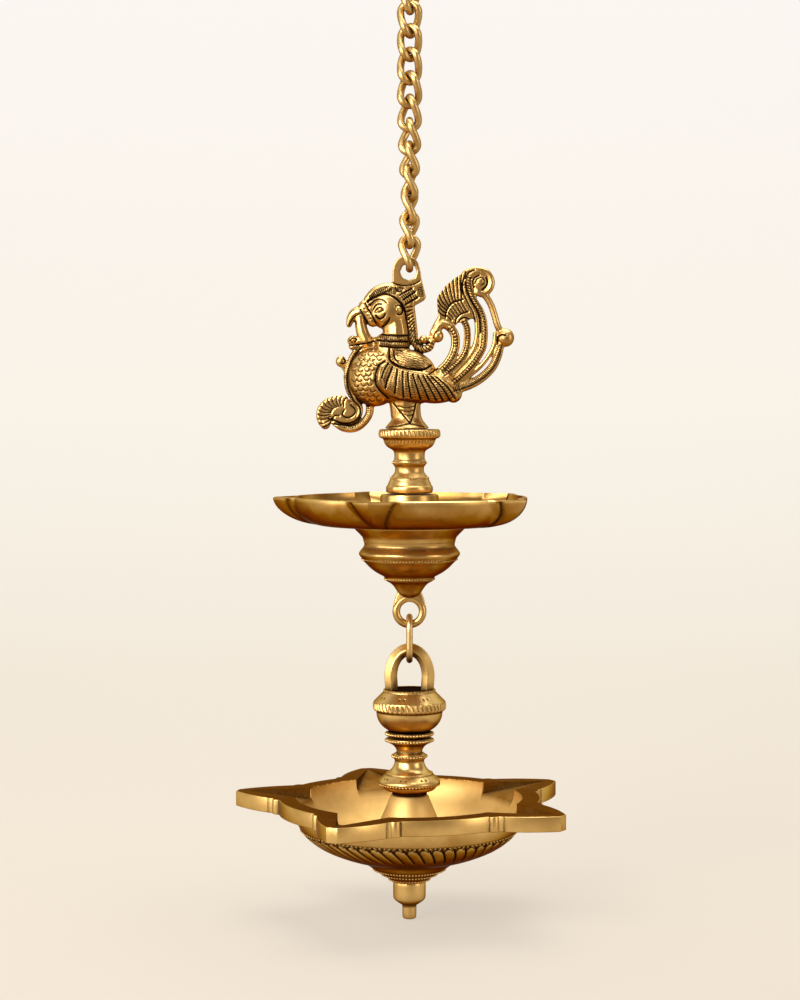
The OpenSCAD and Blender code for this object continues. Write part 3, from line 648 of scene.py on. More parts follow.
# %% [markdown]
# The bird is one flat casting with a full body, chased on both sides. Its forms are built first,
# without the chasing: eggs for the body, breast and head, swept strands for the neck, beak and scrolls,
# and slabs for the crest. Places are measured on the photograph in its own pixels, each 0.48 mm wide.
# An egg is given by its middle, half its width and height in pixels, half its depth in millimetres and
# its tilt. A strand is given by its path, its thickness in millimetres and the share of it at both
# ends.

# %% Bird forms
px = 0.48
axis_x = 409.5
stand_y = 429


def at(x, y, depth=0.0):
    return Vector(((x - axis_x) * px, depth, (stand_y - y) * px))


def smooth_path(points, steps=6):
    line = np.array(points, float)
    line = np.vstack([2 * line[0] - line[1], line, 2 * line[-1] - line[-2]])
    out = []
    for p0, p1, p2, p3 in zip(line[:-3], line[1:-2], line[2:-1], line[3:]):
        for i in range(steps):
            t = i / steps
            out.append(0.5 * (2 * p1 + (p2 - p0) * t + (2 * p0 - 5 * p1 + 4 * p2 - p3) * t * t
                              + (3 * p1 - p0 - 3 * p2 + p3) * t ** 3))
    out.append(line[-2])
    return np.array(out)


def egg(bm, x, y, wide, high, deep, tilt=0, depth=0.0):
    place = Matrix.Translation(at(x, y, depth)) @ Matrix.Rotation(math.radians(tilt), 4, "Y")
    place = place @ Matrix.Diagonal((wide * px, deep, high * px, 1))
    bmesh.ops.create_uvsphere(bm, u_segments=32, v_segments=20, radius=1, matrix=place)


def strand(bm, points, thick, ends=(1, 1), depth=0.0):
    path = smooth_path(points)
    share = np.linspace(0, 1, len(path))
    radii = ends[0] + (ends[1] - ends[0]) * share
    join(bm, swept([at(x, y, depth) for x, y in path], thick, False, radii, 4))
    for (x, y), r in ((path[0], ends[0]), (path[-1], ends[1])):
        place = Matrix.Translation(at(x, y, depth))
        bmesh.ops.create_uvsphere(bm, u_segments=14, v_segments=9, radius=0.98 * r * thick / 2,
                                  matrix=place)


def slab(bm, outline, thick):
    corners = [bm.verts.new(at(x, y, -thick / 2)) for x, y in outline]
    push_face(bm, bm.faces.new(corners), (0, thick, 0))


bird = bmesh.new()
# Breast, body, rump, back and shoulder
egg(bird, 375, 377, 27, 29.5, 12.6, 0)
egg(bird, 402, 383, 42, 21.5, 12.0, 6)
egg(bird, 432, 388, 29, 15.5, 8.6, 4)
egg(bird, 410, 365, 26, 15, 8.6, 18)
egg(bird, 392, 345, 18, 13, 7.6, 8)
# Neck, head, crown and cheek
strand(bird, [(390, 352), (396, 340), (396, 328), (394, 318)], 13.0, (1.15, 0.9))
egg(bird, 389, 311, 20, 19.5, 7.6, 0)
egg(bird, 392, 303, 22, 18, 6.4, -10)
egg(bird, 380, 316, 13, 10, 6.6, 20)
strand(bird, [(369, 300), (376, 293), (387, 289.5), (397, 291)], 6.4, (0.8, 1))
# Beak and the scroll that hangs from it
strand(bird, [(365, 307), (369, 314), (373, 321)], 6.6, (1, 0.95))
strand(bird, [(362, 312), (355, 313.8), (350.8, 319), (349.2, 325)], 5.8, (1.1, 0.5))
strand(bird, [(360, 318), (361, 326), (363, 334), (366, 341)], 5.0, (1, 1.35))
strand(bird, [(351.5, 341), (358, 341.5), (366, 342), (375, 341)], 5.2, (0.8, 0.75))
strand(bird, [(352, 346.5), (358, 348), (366, 346.5), (374, 345)], 3.4)
egg(bird, 352.8, 339.8, 4.4, 4.0, 2.9)
# Mane with its curl, and the cord down the breast
mane = [(411.5, 318), (413.3, 332), (414.5, 342), (421, 349), (429, 348), (431.5, 342)]
strand(bird, [(409.5, 304)] + mane, 4.4, (1.05, 0.8))
egg(bird, 423.4, 339.8, 4.4, 4.4, 2.6)
strand(bird, [(424, 339), (431, 338), (437, 336)], 2.4)
strand(bird, [(361, 347), (353.5, 355), (348, 368), (346.8, 380), (349.5, 392), (357, 403)], 3.0)
egg(bird, 341, 361.5, 5.2, 5.8, 2.4)
strand(bird, [(341, 364), (345, 369.5), (347.5, 373)], 2.2)
# Crest plate with the hanging eye, in two halves round its hole
crest_thick = 3.4
plate_left = [(408.9, 257.4), (401.5, 257.4), (397.4, 259.6), (393.8, 265), (392.4, 271), (392.3, 298),
              (402, 310), (408.9, 308), (408.9, 281.1), (402.6, 278.6), (400.1, 272.5), (402.6, 266.4),
              (408.9, 263.9)]
plate_right = [(408.4, 263.9), (414.6, 266.4), (416.9, 272.5), (414.6, 278.6), (408.4, 281.1),
               (408.4, 308), (414, 306.5), (424, 301), (426, 297.6), (421.6, 280.2), (420.4, 271.8),
               (418.2, 263.4), (414.2, 258.8), (408.4, 257.2)]
for outline in (plate_left, plate_right):
    slab(bird, outline, crest_thick)
print("bird forms so far", len(bird.verts), "vertices")

# %% [markdown]
# The tail is an openwork fan of strands that end in curls, with a feathered web between them. The chest
# scroll curls up at the front, and one thick leg with a flared foot carries the bird. At the end all
# forms are fused by a voxel remesh and smoothed a little, so they flow into each other as in a casting.

# %% Bird tail, scroll and legs
strand_a = [(436.5, 331), (439, 326.5), (443.5, 324.4), (449.7, 327.7), (454.6, 335.3), (455.2, 345.3),
            (452.8, 354.5), (447.4, 363.6), (440, 371)]
strand_b = [(463.5, 320.8), (466.6, 327.7), (467.3, 337.6), (465.8, 349.1), (461.2, 358.3),
            (453.6, 365.9), (443, 375)]
strand_c = [(478.8, 272.9), (473.5, 273.6), (469.2, 277.4), (467.7, 282.5), (468.9, 289), (470.8, 295.5),
            (474.2, 302.4), (479.4, 310.9), (482.6, 320), (483.6, 330), (483.4, 339.2), (481.9, 348.3),
            (477.3, 356.8), (471.9, 364.4), (465, 372.1), (453, 383)]
strand_d = [(484, 295), (487.5, 299.5), (491.4, 307), (494.4, 316.2), (497.4, 326.2), (500.5, 331)]
strand_e = [(500, 345), (498.2, 353.5), (495.4, 361), (490.8, 368.8), (481.1, 378), (468.9, 384.9),
            (453, 390)]
strand_f = [(495, 334), (494.4, 343), (491.2, 351.4), (486, 359.5), (478.5, 368), (466, 378), (452, 387)]
strand_g = [(462.5, 286), (464.5, 295), (468.8, 303.5), (473.8, 312.5), (476.5, 322), (477, 333),
            (475.2, 344), (471, 353.5), (464, 363), (452, 375)]
for path, thick, ends in ((strand_a, 4.3, (1, 1.05)), (strand_b, 3.6, (0.9, 1.1)),
                          (strand_c, 3.9, (0.9, 1.1)), (strand_d, 3.3, (1, 1)),
                          (strand_e, 4.3, (0.95, 1.1)), (strand_f, 2.4, (1, 1)), (strand_g, 2.5, (1, 1))):
    strand(bird, path, thick, ends)
# Curls at the strands' ends
egg(bird, 437.5, 336.4, 6, 6.4, 2.9)
egg(bird, 505.4, 337.9, 8.6, 9.2, 3.6)
egg(bird, 480.2, 282.4, 7.6, 7.8, 2.3)
egg(bird, 479.6, 282.6, 11.6, 12.4, 1.7)
scroll = [(464, 273.6), (470, 271), (476.5, 269.6), (485.5, 272), (490.4, 278), (491.3, 285),
          (488.3, 290.8), (482.4, 294.3), (477, 292.5)]
strand(bird, scroll, 3.3, (0.7, 1.1))
# Feathered web, and the rump that the tail grows from
fan = [(467.3, 270.8), (461.2, 274.6), (453.6, 279.2), (445.9, 286), (437.8, 296.3), (436.9, 301),
       (437.3, 308.6), (438.4, 317), (445, 321), (454, 324), (463, 322), (472, 319), (478, 314),
       (470, 300), (465, 288)]
slab(bird, fan, 2.4)
strand(bird, [(440, 318), (436, 325), (432, 333)], 2.6)
strand(bird, [(455, 324), (458.5, 318), (464, 315.5), (469, 317)], 1.8)
egg(bird, 443, 381, 13, 11, 6.0, 35)
egg(bird, 454, 394, 8, 9, 5.0, 20)
# Chest scroll
ring_mid = [(370, 404), (369.4, 413), (365, 421), (358, 427), (350.4, 429), (342, 427.4), (335, 422.5)]
strand(bird, ring_mid, 3.8, (1.05, 0.9))
strand(bird, [(356, 402), (360, 407), (359.6, 414), (355.5, 419.5), (348, 421.5), (341, 420)], 2.8)
slab(bird, [(346, 398), (337, 398), (327.4, 401), (320.8, 407.6), (318.8, 415.5), (321, 422.4),
            (326, 425), (333, 423), (344, 421), (355, 418), (357, 409), (353, 402)], 2.6)
strand(bird, [(345, 399), (336.8, 398.6), (327.4, 401.6), (321, 408), (319.2, 416), (321.4, 423)], 3.0)
egg(bird, 325.4, 424.8, 4.8, 4.6, 2.5)
# Leg and foot
strand(bird, [(403, 398), (404, 408), (404, 417)], 12.8, (1.1, 1.0))
leg_off = -1.2
leg_rows = [(0.01, 13), (6.5, 13), (6.5, 8), (7.3, 4.5), (9.6, 1.8), (11.0, 0.02), (0.01, 0.02)]
leg = spun(worn(leg_rows, 1), 48)
bmesh.ops.translate(leg, verts=leg.verts, vec=(leg_off, 0, 0))
join(bird, leg)
raw = bpy.data.meshes.new("bird_forms")
bird.to_mesh(raw)
bird.free()
holder = bpy.data.objects.new("bird_forms", raw)
bpy.context.collection.objects.link(holder)
fuse = holder.modifiers.new("fuse", "REMESH")
fuse.mode = "VOXEL"
fuse.voxel_size = 0.4
bpy.context.view_layer.update()
skin = bmesh.new()
skin.from_object(holder, bpy.context.evaluated_depsgraph_get())
bpy.data.objects.remove(holder)
for _ in range(2):
    bmesh.ops.smooth_vert(skin, verts=skin.verts, factor=0.5, use_axis_x=True, use_axis_y=True,
                          use_axis_z=True)
print("fused bird", len(skin.verts), "vertices", len(skin.faces), "faces")

# %% [markdown]
# The chasing goes on next. A chaser cuts lines with a blunt tool and leaves the metal between them
# standing, so each stroke here is a path that presses the skin in and keeps dark stain. Beads, ribs,
# scales and feathers are made of the same strokes. They are cut on both sides of the bird, and not on
# its narrow edges. After its path a stroke has its width in pixels, its depth in millimetres, and how
# dark its stain is.

# %% Bird chasing
bmesh.ops.recalc_face_normals(skin, faces=skin.faces)
skin.normal_update()
place = np.array([v.co for v in skin.verts])
facing = np.array([v.normal for v in skin.verts])
seen = np.stack([place[:, 0] / px + axis_x, stand_y - place[:, 2] / px], 1)
flat = np.clip((np.abs(facing[:, 1]) - 0.12) / 0.4, 0, 1)
lift = np.zeros(len(place))
stain = np.zeros(len(place))


def gap_to(path, reach):
    path = np.asarray(path, float)
    low = path.min(0) - reach
    high = path.max(0) + reach
    near = np.where(((seen > low) & (seen < high)).all(1))[0]
    gap = np.full(len(near), 1e3)
    spots = seen[near]
    for a, b in zip(path[:-1], path[1:]):
        step = b - a
        t = np.clip(((spots - a) @ step) / max(step @ step, 1e-9), 0, 1)
        gap = np.minimum(gap, np.linalg.norm(spots - a - t[:, None] * step, axis=1))
    return near, gap


def cut(path, width=1.6, depth=0.45, dark=1.0, curved=True):
    path = smooth_path(path, 4) if curved else path
    near, gap = gap_to(path, 2 * width + 1)
    press = np.clip(1 - (gap / (0.5 * width + 0.4)) ** 2, 0, 1) * flat[near]
    lift[near] -= depth * press
    halo = 0.34 * dark * np.exp(-(gap / (0.8 * width + 0.6)) ** 2) * flat[near]
    stain[near] = np.maximum(stain[near], np.maximum(halo, dark * np.clip(1.25 * press, 0, 1)))


def raised(path, width, height, curved=True):
    path = smooth_path(path, 4) if curved else path
    near, gap = gap_to(path, width)
    lift[near] += height * np.sqrt(np.clip(1 - (gap / (0.5 * width)) ** 2, 0, 1)) * flat[near]


def along(path, t):
    path = np.asarray(path, float)
    run = np.concatenate([[0], np.cumsum(np.linalg.norm(np.diff(path, axis=0), axis=1))])
    return np.array([np.interp(t * run[-1], run, path[:, k]) for k in (0, 1)])


def ticks(one, other, count, width=1.0, depth=0.25, dark=0.8):
    one = smooth_path(one, 4)
    other = smooth_path(other, 4)
    for i in range(count):
        t = (i + 0.5) / count
        cut([along(one, t), along(other, t)], width, depth, dark, False)


def bead_row(path, count, size, height=0.5):
    path = smooth_path(path, 4)
    for i in range(count):
        spot = along(path, i / max(count - 1, 1))
        raised([spot, spot + 0.01], size, height, False)


def side_path(path, offset):
    path = smooth_path(path, 4)
    step = np.gradient(path, axis=0)
    step /= np.maximum(np.linalg.norm(step, axis=1), 1e-6)[:, None]
    return path + offset * np.stack([-step[:, 1], step[:, 0]], 1)


def within(corners, spots):
    x, y = spots[:, 0], spots[:, 1]
    inside = np.zeros(len(spots), bool)
    for (x0, y0), (x1, y1) in zip(corners, corners[1:] + corners[:1]):
        cross = (y0 > y) != (y1 > y)
        inside ^= cross & (x < (x1 - x0) * (y - y0) / ((y1 - y0) or 1e-9) + x0)
    return inside


def step_up(corners, height, soft=2.0):
    inside = within(corners, seen)
    near, gap = gap_to(corners + corners[:1], 60)
    depth = np.zeros(len(seen))
    depth[near] = gap
    lift[inside] += (height * np.clip(depth / soft, 0, 1) * flat)[inside]


print("share of the skin that can be chased", round(float((flat > 0.5).mean()), 2))

# %% [markdown]
# The face follows the photograph: a hairline over the brow, an almond eye under two arched lines, a
# curled cheek, a round ear, and a hooked beak with a beaded ridge. The crest plate has slanted bands of
# ticks, the mane is cut across, and the collar is two rows of beads between three lines.

# %% Bird head
hair_line = [(367.8, 302.4), (373.1, 298.6), (382.3, 295.2), (388.5, 295.6), (394.6, 298.6),
             (399.2, 302.4), (403, 307), (405.3, 313.1)]
nape_line = [(405.3, 313.1), (406.4, 320), (408, 328.5), (408.7, 337.6), (409.9, 346.8)]
cut(hair_line, 2.4, 0.7)
cut(nape_line, 1.5, 0.5)
ticks([(369, 297.5), (376, 291), (386, 287.5), (396, 288)],
      [(371, 300), (378, 295.4), (387, 293.5), (396, 296)], 15, 1.2, 0.4, 0.85)
cut([(370.1, 305.9), (373.9, 301.7), (378.5, 300.1), (383.1, 300.9), (386.2, 303.2)], 1.3, 0.4)
cut([(373.5, 309.7), (375.4, 306.3), (378.5, 304.7), (382, 305.1)], 1.2, 0.35)
cut([(374.6, 312.6), (376.4, 310.4), (379.4, 308.3), (382.4, 309.2), (383.6, 311)], 0.9, 0.3)
cut([(375.4, 313.2), (379.4, 313.4), (383.2, 311.6)], 0.8, 0.25, 0.8)
raised([(379.4, 310.6), (379.5, 310.6)], 3.6, 0.55, False)
cut([(376.2, 316.2), (377.7, 318.5), (380.8, 319.7), (383.9, 317.7), (385.4, 315.2)], 1.8, 0.5)
cut([(383, 327), (386.2, 325), (388.6, 321.8), (389.6, 319)], 1.9, 0.55)
cut([(384.6, 324), (387, 321.6)], 1.0, 0.25, 0.5)
cut([(395.3, 307.6), (397.6, 306.2), (400.7, 307), (402.4, 309.6), (402.4, 313), (400.5, 315.3),
     (397.2, 315.1)], 1.3, 0.4)
raised([(398.6, 310.8), (399.4, 310.8)], 5.2, 0.5, False)
cut([(365.5, 304), (369, 310.5), (373, 318), (376.2, 324)], 1.4, 0.55)
cut([(360.9, 310.1), (364, 316.5), (367.8, 323.6)], 1.3, 0.5)
bead_row([(364.6, 308), (368, 314.5), (371, 321)], 5, 2.8, 0.35)
cut([(360.9, 313.9), (355.6, 316.6), (351.7, 320.8), (349.4, 325.8)], 1.1, 0.4)
cut([(354, 321), (356.4, 323.5), (354.6, 326)], 0.9, 0.3, 0.7)
cut([(349.5, 341.5), (353, 338.6), (357, 339.6), (355, 342.6)], 1.0, 0.35)
cut([(350, 346), (357, 345), (367, 343.6), (375, 341.4)], 1.2, 0.4)
cut([(393, 283.7), (399.2, 285.6), (406.8, 286.2), (414.5, 284.7), (419.8, 281.8)], 1.0, 0.35)
bands = [[(399.2, 296.3), (412.2, 288.7)], [(403, 300.9), (415.2, 292.5)],
         [(405.3, 305.5), (417.9, 297.8)]]
for band in bands:
    cut(band, 1.6, 0.5, 1, False)
ticks(bands[0], bands[1], 7, 0.9, 0.25)
ticks(bands[1], bands[2], 6, 0.9, 0.25)
ticks([(418, 288), (420, 298)], [(422, 287), (424, 297.5)], 6, 0.9, 0.25)
ticks([(395, 288), (404, 288)], [(396, 293), (402, 293)], 5, 0.9, 0.25)
mane_mid = [(409.5, 306)] + mane
ticks(side_path(mane_mid, 3.4), side_path(mane_mid, -2.2), 18, 1.2, 0.5, 0.7)
cut([(417.5, 339.5), (419, 344), (424, 345.6), (428.4, 342.4)], 1.3, 0.5)
cut([(411.6, 347), (417, 351.4), (424, 354.6)], 2.2, 0.5, 0.9)
for level, first, last in ((339.4, 378, 407.6), (344.6, 382, 409)):
    bead_row([(first, level - 1.2), ((first + last) / 2, level + 0.4), (last, level)], 16, 2.1, 0.45)
for high, low in ((337.4, 341), (343.4, 347)):
    ticks([(380, high - 1.2), (394, high + 0.4), (408, high)],
          [(380, low - 1.2), (394, low + 0.4), (409, low)], 15, 1.0, 0.4, 0.55)
for level, first, last in ((336, 380, 408), (342, 377, 409), (348, 380, 411)):
    cut([(first, level - 1.4), ((first + last) / 2, level + 0.2), (last, level)], 1.7, 0.5)

print("head chased, deepest cut", round(float(-lift.min()), 2), "mm")

# %% [markdown]
# The breast is covered with small curved scales, set a little unevenly by hand. The wing stands up from
# the body, with a rounded edge, long quills that fan backwards, and fine barbs between them. The back
# has a beaded border and wavy lines.

# %% Bird breast, wing and back
breast_line = [(362, 347.7), (355.9, 354.5), (351.7, 362.2), (349, 370.6), (347.5, 378.3), (347.9, 385.9),
               (350.6, 393.6), (354.4, 401.2), (359, 405.8), (360.5, 411.2), (359, 417.3), (353.6, 421.9),
               (346.7, 423.4), (339.8, 422.6), (333, 419.6)]
cut(breast_line, 1.5, 0.5)
cut([(352.4, 388), (355.9, 396.6), (362.8, 404.3), (369, 406)], 1.6, 0.4)
ticks(side_path(breast_line[:8], 0.8), side_path(breast_line[:8], 4.6), 34, 0.8, 0.25, 0.7)
cut([(343.6, 358), (345.4, 361), (344, 364), (341.4, 363.4)], 1.1, 0.4)
breast = [(364, 350), (357, 358), (352, 370), (351, 383), (354, 393), (362, 402), (378, 404), (384, 399),
          (376, 390), (374, 379), (376, 370), (382, 362), (388, 359), (388, 350)]
wing = [(386.5, 362.2), (381.2, 366), (378.1, 372.9), (377.3, 380.6), (378.9, 385.9), (383.5, 391.3),
        (390.3, 396.6), (400.3, 400.4), (412, 402.5), (430, 403), (444, 404), (453, 404), (459.4, 400),
        (459.6, 395), (456.5, 391), (450, 384), (442, 377), (436, 374), (428.6, 375.2), (417.1, 372.9),
        (405.6, 370.6), (396.5, 366.8)]
step_up(wing, 1.1, 2.4)
stain[within(wing, seen)] = 0.24
stain[within(breast, seen)] = 0.12
scale_x = 6.2
scale_y = 5.0
for r in range(12):
    for c in range(8):
        x = 348 + scale_x * (c + 0.5 * (r % 2)) + 0.7 * math.sin(2.3 * r + 1.7 * c)
        y = 350 + scale_y * r + 0.6 * math.sin(1.9 * c + 0.8 * r)
        if within(breast, np.array([[x, y]]))[0]:
            scale = [(x - 2.6, y - 1.2), (x - 1.3, y + 1.1), (x + 0.7, y + 1.6), (x + 2.6, y + 0.3)]
            cut(scale, 0.9, 0.3, 0.6)
            raised([(x, y - 1.0), (x + 0.01, y - 1.0)], 4.4, 0.18, False)
cut([(385, 361.5), (379.6, 365.4), (376.4, 372.6), (375.6, 380.6), (377.2, 386.8), (382, 392.8),
     (389, 398.4)], 1.8, 0.6)
raised([(386, 363.4), (381.6, 367), (379.4, 373), (378.9, 380.6), (380.4, 385.6), (385, 391),
        (391, 395.4), (401, 399)], 2.6, 0.5)
quills = [[(388.8, 363.9), (384.6, 370), (382, 378.3)], [(392.6, 367.5), (388, 379), (385.4, 388.5)],
          [(397.2, 369.4), (396.1, 382.8), (394.7, 394)], [(402.6, 371.6), (403, 384.4), (403.3, 397.6)],
          [(407.6, 373), (408.7, 385.9), (411, 398.6)], [(412.6, 374.6), (416.4, 387), (420.3, 399.4)],
          [(418, 375.6), (423.4, 388), (428.7, 400)], [(423, 376), (430, 389), (436, 400.4)],
          [(427.2, 376.6), (435.4, 388), (442.5, 400.4)], [(431, 376.6), (441, 387), (449.7, 400.4)],
          [(436, 377), (446.4, 386.6), (455, 398.6)]]
for quill in quills:
    cut(quill, 1.5, 0.55)
for one, other in zip(quills[:-1], quills[1:]):
    middle = [tuple((np.array(a) + np.array(b)) / 2) for a, b in zip(one, other)]
    ticks(one, [(x, y - 0.9) for x, y in middle], 11, 0.8, 0.2, 0.5)
    ticks(other, [(x, y - 0.9) for x, y in middle], 11, 0.8, 0.2, 0.5)
back_line = [(389.6, 350), (389.6, 358.4), (392.6, 363.2), (398.8, 366.4), (408.7, 369.2), (420.9, 370.2),
             (427.1, 368.3), (431, 365.4)]
cut(back_line, 2.1, 0.65)
cut([(394, 351), (394.4, 358), (398, 362.4)], 1.4, 0.4)
bead_row([(391.4, 352), (391.8, 358), (395, 362.8), (401, 366)], 9, 1.8, 0.3)
bead_row([(394, 366.6), (405.6, 371.6), (417.1, 373.9), (430, 375.6)], 22, 1.7, 0.35)
cut([(429, 374.8), (434, 371), (437.6, 369)], 1.3, 0.4)
for i in range(6):
    start = np.array([396.5 + 0.4 * i, 350.5 + 2.6 * i])
    wave = [start + np.array([x, 0.34 * x + 0.55 * math.sin(x * 1.15 + i)])
            for x in np.arange(0, 31 - 1.4 * i, 1.3)]
    cut(wave, 0.8, 0.25, 0.6, False)
cut([(393.4, 403.5), (401, 412.5), (410.2, 423)], 1.2, 0.4)
cut([(415.6, 404), (413.6, 413), (410.2, 423)], 1.2, 0.4)
for y, x0, x1 in ((407, 398, 414), (411, 401.5, 413.2), (415, 405, 412.6)):
    cut([(x0, y - 0.6), ((x0 + x1) / 2, y + 0.8), (x1, y - 0.8)], 0.9, 0.25, 0.7)
cut([(388, 427), (398, 425.6), (410, 423.6), (424, 426.6)], 1.2, 0.25, 0.7)

print("wing and breast chased, highest place", round(float(lift.max()), 2), "mm")

# %% [markdown]
# The tail's web has two tiers of feathers, cut as fans of short lines. Its strands are rows of beads
# between two fine lines, and the curls get a spiral. The chest scroll is cut like a shell.

# %% Bird tail and scroll
upper_tier = [[(465.8, 272.6), (461.8, 286), (462.5, 294)], [(461, 275), (460.4, 288), (461.5, 299)],
              [(457.2, 277.6), (457.4, 289), (458, 299.6)],
              [(452.8, 280.4), (453.8, 291), (455.1, 300.4)], [(449, 283.4), (450.6, 293), (452.8, 302)],
              [(445.5, 287), (447.2, 295), (450.4, 304)], [(442, 291.4), (444.6, 299), (448.4, 305.6)],
              [(439, 295.4), (442, 302), (447, 307.8)], [(437.3, 300.1), (441, 306), (446.2, 310.4)],
              [(437.2, 305.5), (441, 310), (445.6, 313.6)],
              [(437.8, 310.9), (441, 314.4), (445.1, 316.8)]]
for line in upper_tier:
    cut(line, 1.3, 0.5)
cut([(462.5, 300), (453.6, 302.8), (449, 307), (446, 312.4), (445.1, 318.5)], 1.5, 0.5)
for line in ([(461, 302), (466, 311)], [(458, 303), (463.3, 312)], [(455, 304.4), (460.4, 313)],
             [(452.4, 306.6), (457.6, 314.6)], [(450.2, 309.4), (455.4, 316.6)],
             [(448.4, 312.8), (453.4, 319)], [(447, 316), (451.4, 321)]):
    cut(line, 1.1, 0.4, 0.9, False)
cut([(468, 312), (461.2, 314.2), (456.6, 318.5), (454.8, 324)], 1.4, 0.5)
cut([(469.4, 320), (465, 318), (461.2, 319), (458, 323)], 1.3, 0.5)
cut([(462, 284), (463, 293), (467.4, 303), (472.6, 313), (475, 322)], 1.3, 0.5)
cut([(465, 283), (466.6, 292), (471.2, 302), (477, 312), (479.6, 321), (480, 333)], 1.5, 0.5)
for path, count in ((strand_c[2:], 44), (strand_b, 26), (strand_a[3:], 16)):
    bead_row(path, count, 2.7, 0.5)
    ticks(side_path(path, 1.7), side_path(path, -1.7), count, 0.9, 0.35, 0.65)
    for side in (2.1, -2.1):
        cut(side_path(path, side), 0.9, 0.25, 0.6, False)
ticks(side_path(strand_e, 3.0), side_path(strand_e, -1.2), 38, 0.8, 0.28, 0.75)
cut(side_path(strand_e, -1.6), 0.9, 0.3, 0.8, False)
cut([(485.8, 278), (487, 282.4), (485.8, 287), (481.6, 290.4)], 1.6, 0.6)
cut([(473.6, 288), (472.4, 283), (474.4, 278.6), (478.6, 276.2)], 1.5, 0.5)
cut([(474.6, 284), (476.4, 280), (480, 278.4), (483.4, 280.2), (483.6, 284), (480.6, 286)], 1.1, 0.4, 0.8)
cut([(465.4, 279), (468, 273.4), (474, 271)], 1.2, 0.4)
cut([(497, 343.6), (497.4, 338), (500.6, 335.2), (505.2, 335.6)], 1.5, 0.6)
cut([(443.5, 334), (444.5, 330.6), (448, 331)], 1.2, 0.5)
cut([(433.6, 339), (434, 334), (438, 331.4)], 1.0, 0.35, 0.7)
ticks(side_path(ring_mid, 0.4), side_path(ring_mid, 3.2), 26, 0.8, 0.28, 0.7)
for i in range(12):
    a = math.radians(70 + 13.5 * i)
    rim = np.array([339.5 + 21.5 * math.cos(a), 415.5 - 19.5 * math.sin(a)])
    root = np.array([340.5 + 9.5 * math.cos(a), 414.5 - 8.0 * math.sin(a)])
    bend = (rim + root) / 2 + np.array([-1.4 * math.sin(a), -1.4 * math.cos(a)])
    cut([rim, bend, root], 1.1, 0.35, 0.85)
cut([(351, 405), (355.4, 410), (353.4, 415.4), (347, 417.6), (342.4, 414.6), (344.4, 410)], 1.4, 0.45)
cut([(332.2, 419.6), (335, 415.6), (339.6, 415.4)], 1.3, 0.4)
cut([(328.4, 418), (331, 421)], 1.2, 0.4, 0.9, False)
cut([(334, 424), (342, 424.8), (351, 425), (358, 421.6), (362.8, 414), (364, 408)], 1.4, 0.45)

print("vertices with stain", int((stain > 0.1).sum()))

# %% [markdown]
# Last, the strokes move the skin in or out, and stain is added wherever the skin is hollow: each vertex
# is compared with the middle of its neighbours. The casting then goes on its pedestal.

# %% Bird finish
soft_sign = np.clip(place[:, 1] / 0.6, -1, 1)
place[:, 1] += soft_sign * lift
pairs = np.array([[v.index for v in e.verts] for e in skin.edges])
middle = np.zeros_like(place)
degree = np.zeros(len(place))
for a, b in ((0, 1), (1, 0)):
    np.add.at(middle, pairs[:, a], place[pairs[:, b]])
    np.add.at(degree, pairs[:, a], 1)
hollow = ((middle / degree[:, None] - place) * facing).sum(1)
stain = np.maximum(stain, np.clip(hollow / 0.09, 0, 0.8))
patina_and_shade = skin.verts.layers.float.new("patina_and_shade")
for v, spot, amount in zip(skin.verts, place, stain):
    v.co = spot
    v[patina_and_shade] = amount
raise_to(skin, top("bird_pedestal"))
finish_piece("chased_bird", skin, "bird", ["bird"], cast_brass,
             crisp_deg=60, sideways_shade=0.42)

# %% [markdown]
# Both dishes have five spouts for wicks. Seen from above, a spout is two arcs that meet at its tip and
# run into the round rim. A dish is spun like any turned piece, and then each vertex is moved out by how
# far the spouts reach in its direction. One column of the mesh runs down each spout's keel, so the tips
# stay sharp. A row of the dish has a radius and a height, or a rule that places its vertices later.

# %% Spout plan
spouts = 5


def spout_reach(phi, tip_r, rim_r, half_w):
    root = 0.45 * tip_r
    half_len = tip_r - root
    reach = (rim_r - root) / half_len
    full_w = half_w / (1 - reach * reach)
    arc_r = (half_len * half_len / full_w + full_w) / 2
    off = arc_r - full_w
    b = root * math.cos(phi) - off * math.sin(phi)
    c = root * root + off * off - arc_r * arc_r
    return b + math.sqrt(max(b * b - c, 0))


def from_spout(v, spout_at):
    angle = math.atan2(v.co.y, v.co.x)
    return min(abs((angle - a + math.pi) % (2 * math.pi) - math.pi) for a in spout_at)


def put(v, r, z):
    angle = math.atan2(v.co.y, v.co.x)
    v.co = (r * math.cos(angle), r * math.sin(angle), z)


def stand_in(rows):
    return [(r, z) if rule is None else (20 + 0.5 * k, -0.1 * k) for k, (r, z, rule) in enumerate(rows)]


print("spouts on each dish", spouts)

# %% [markdown]
# The upper dish is shallow. Outside, each spout is a petal with a crease on both sides, and the creases
# draw together towards the foot. The inside is a smooth hollow round a short pillar, coloured browner
# than the rest: painted shade inside the hollow.

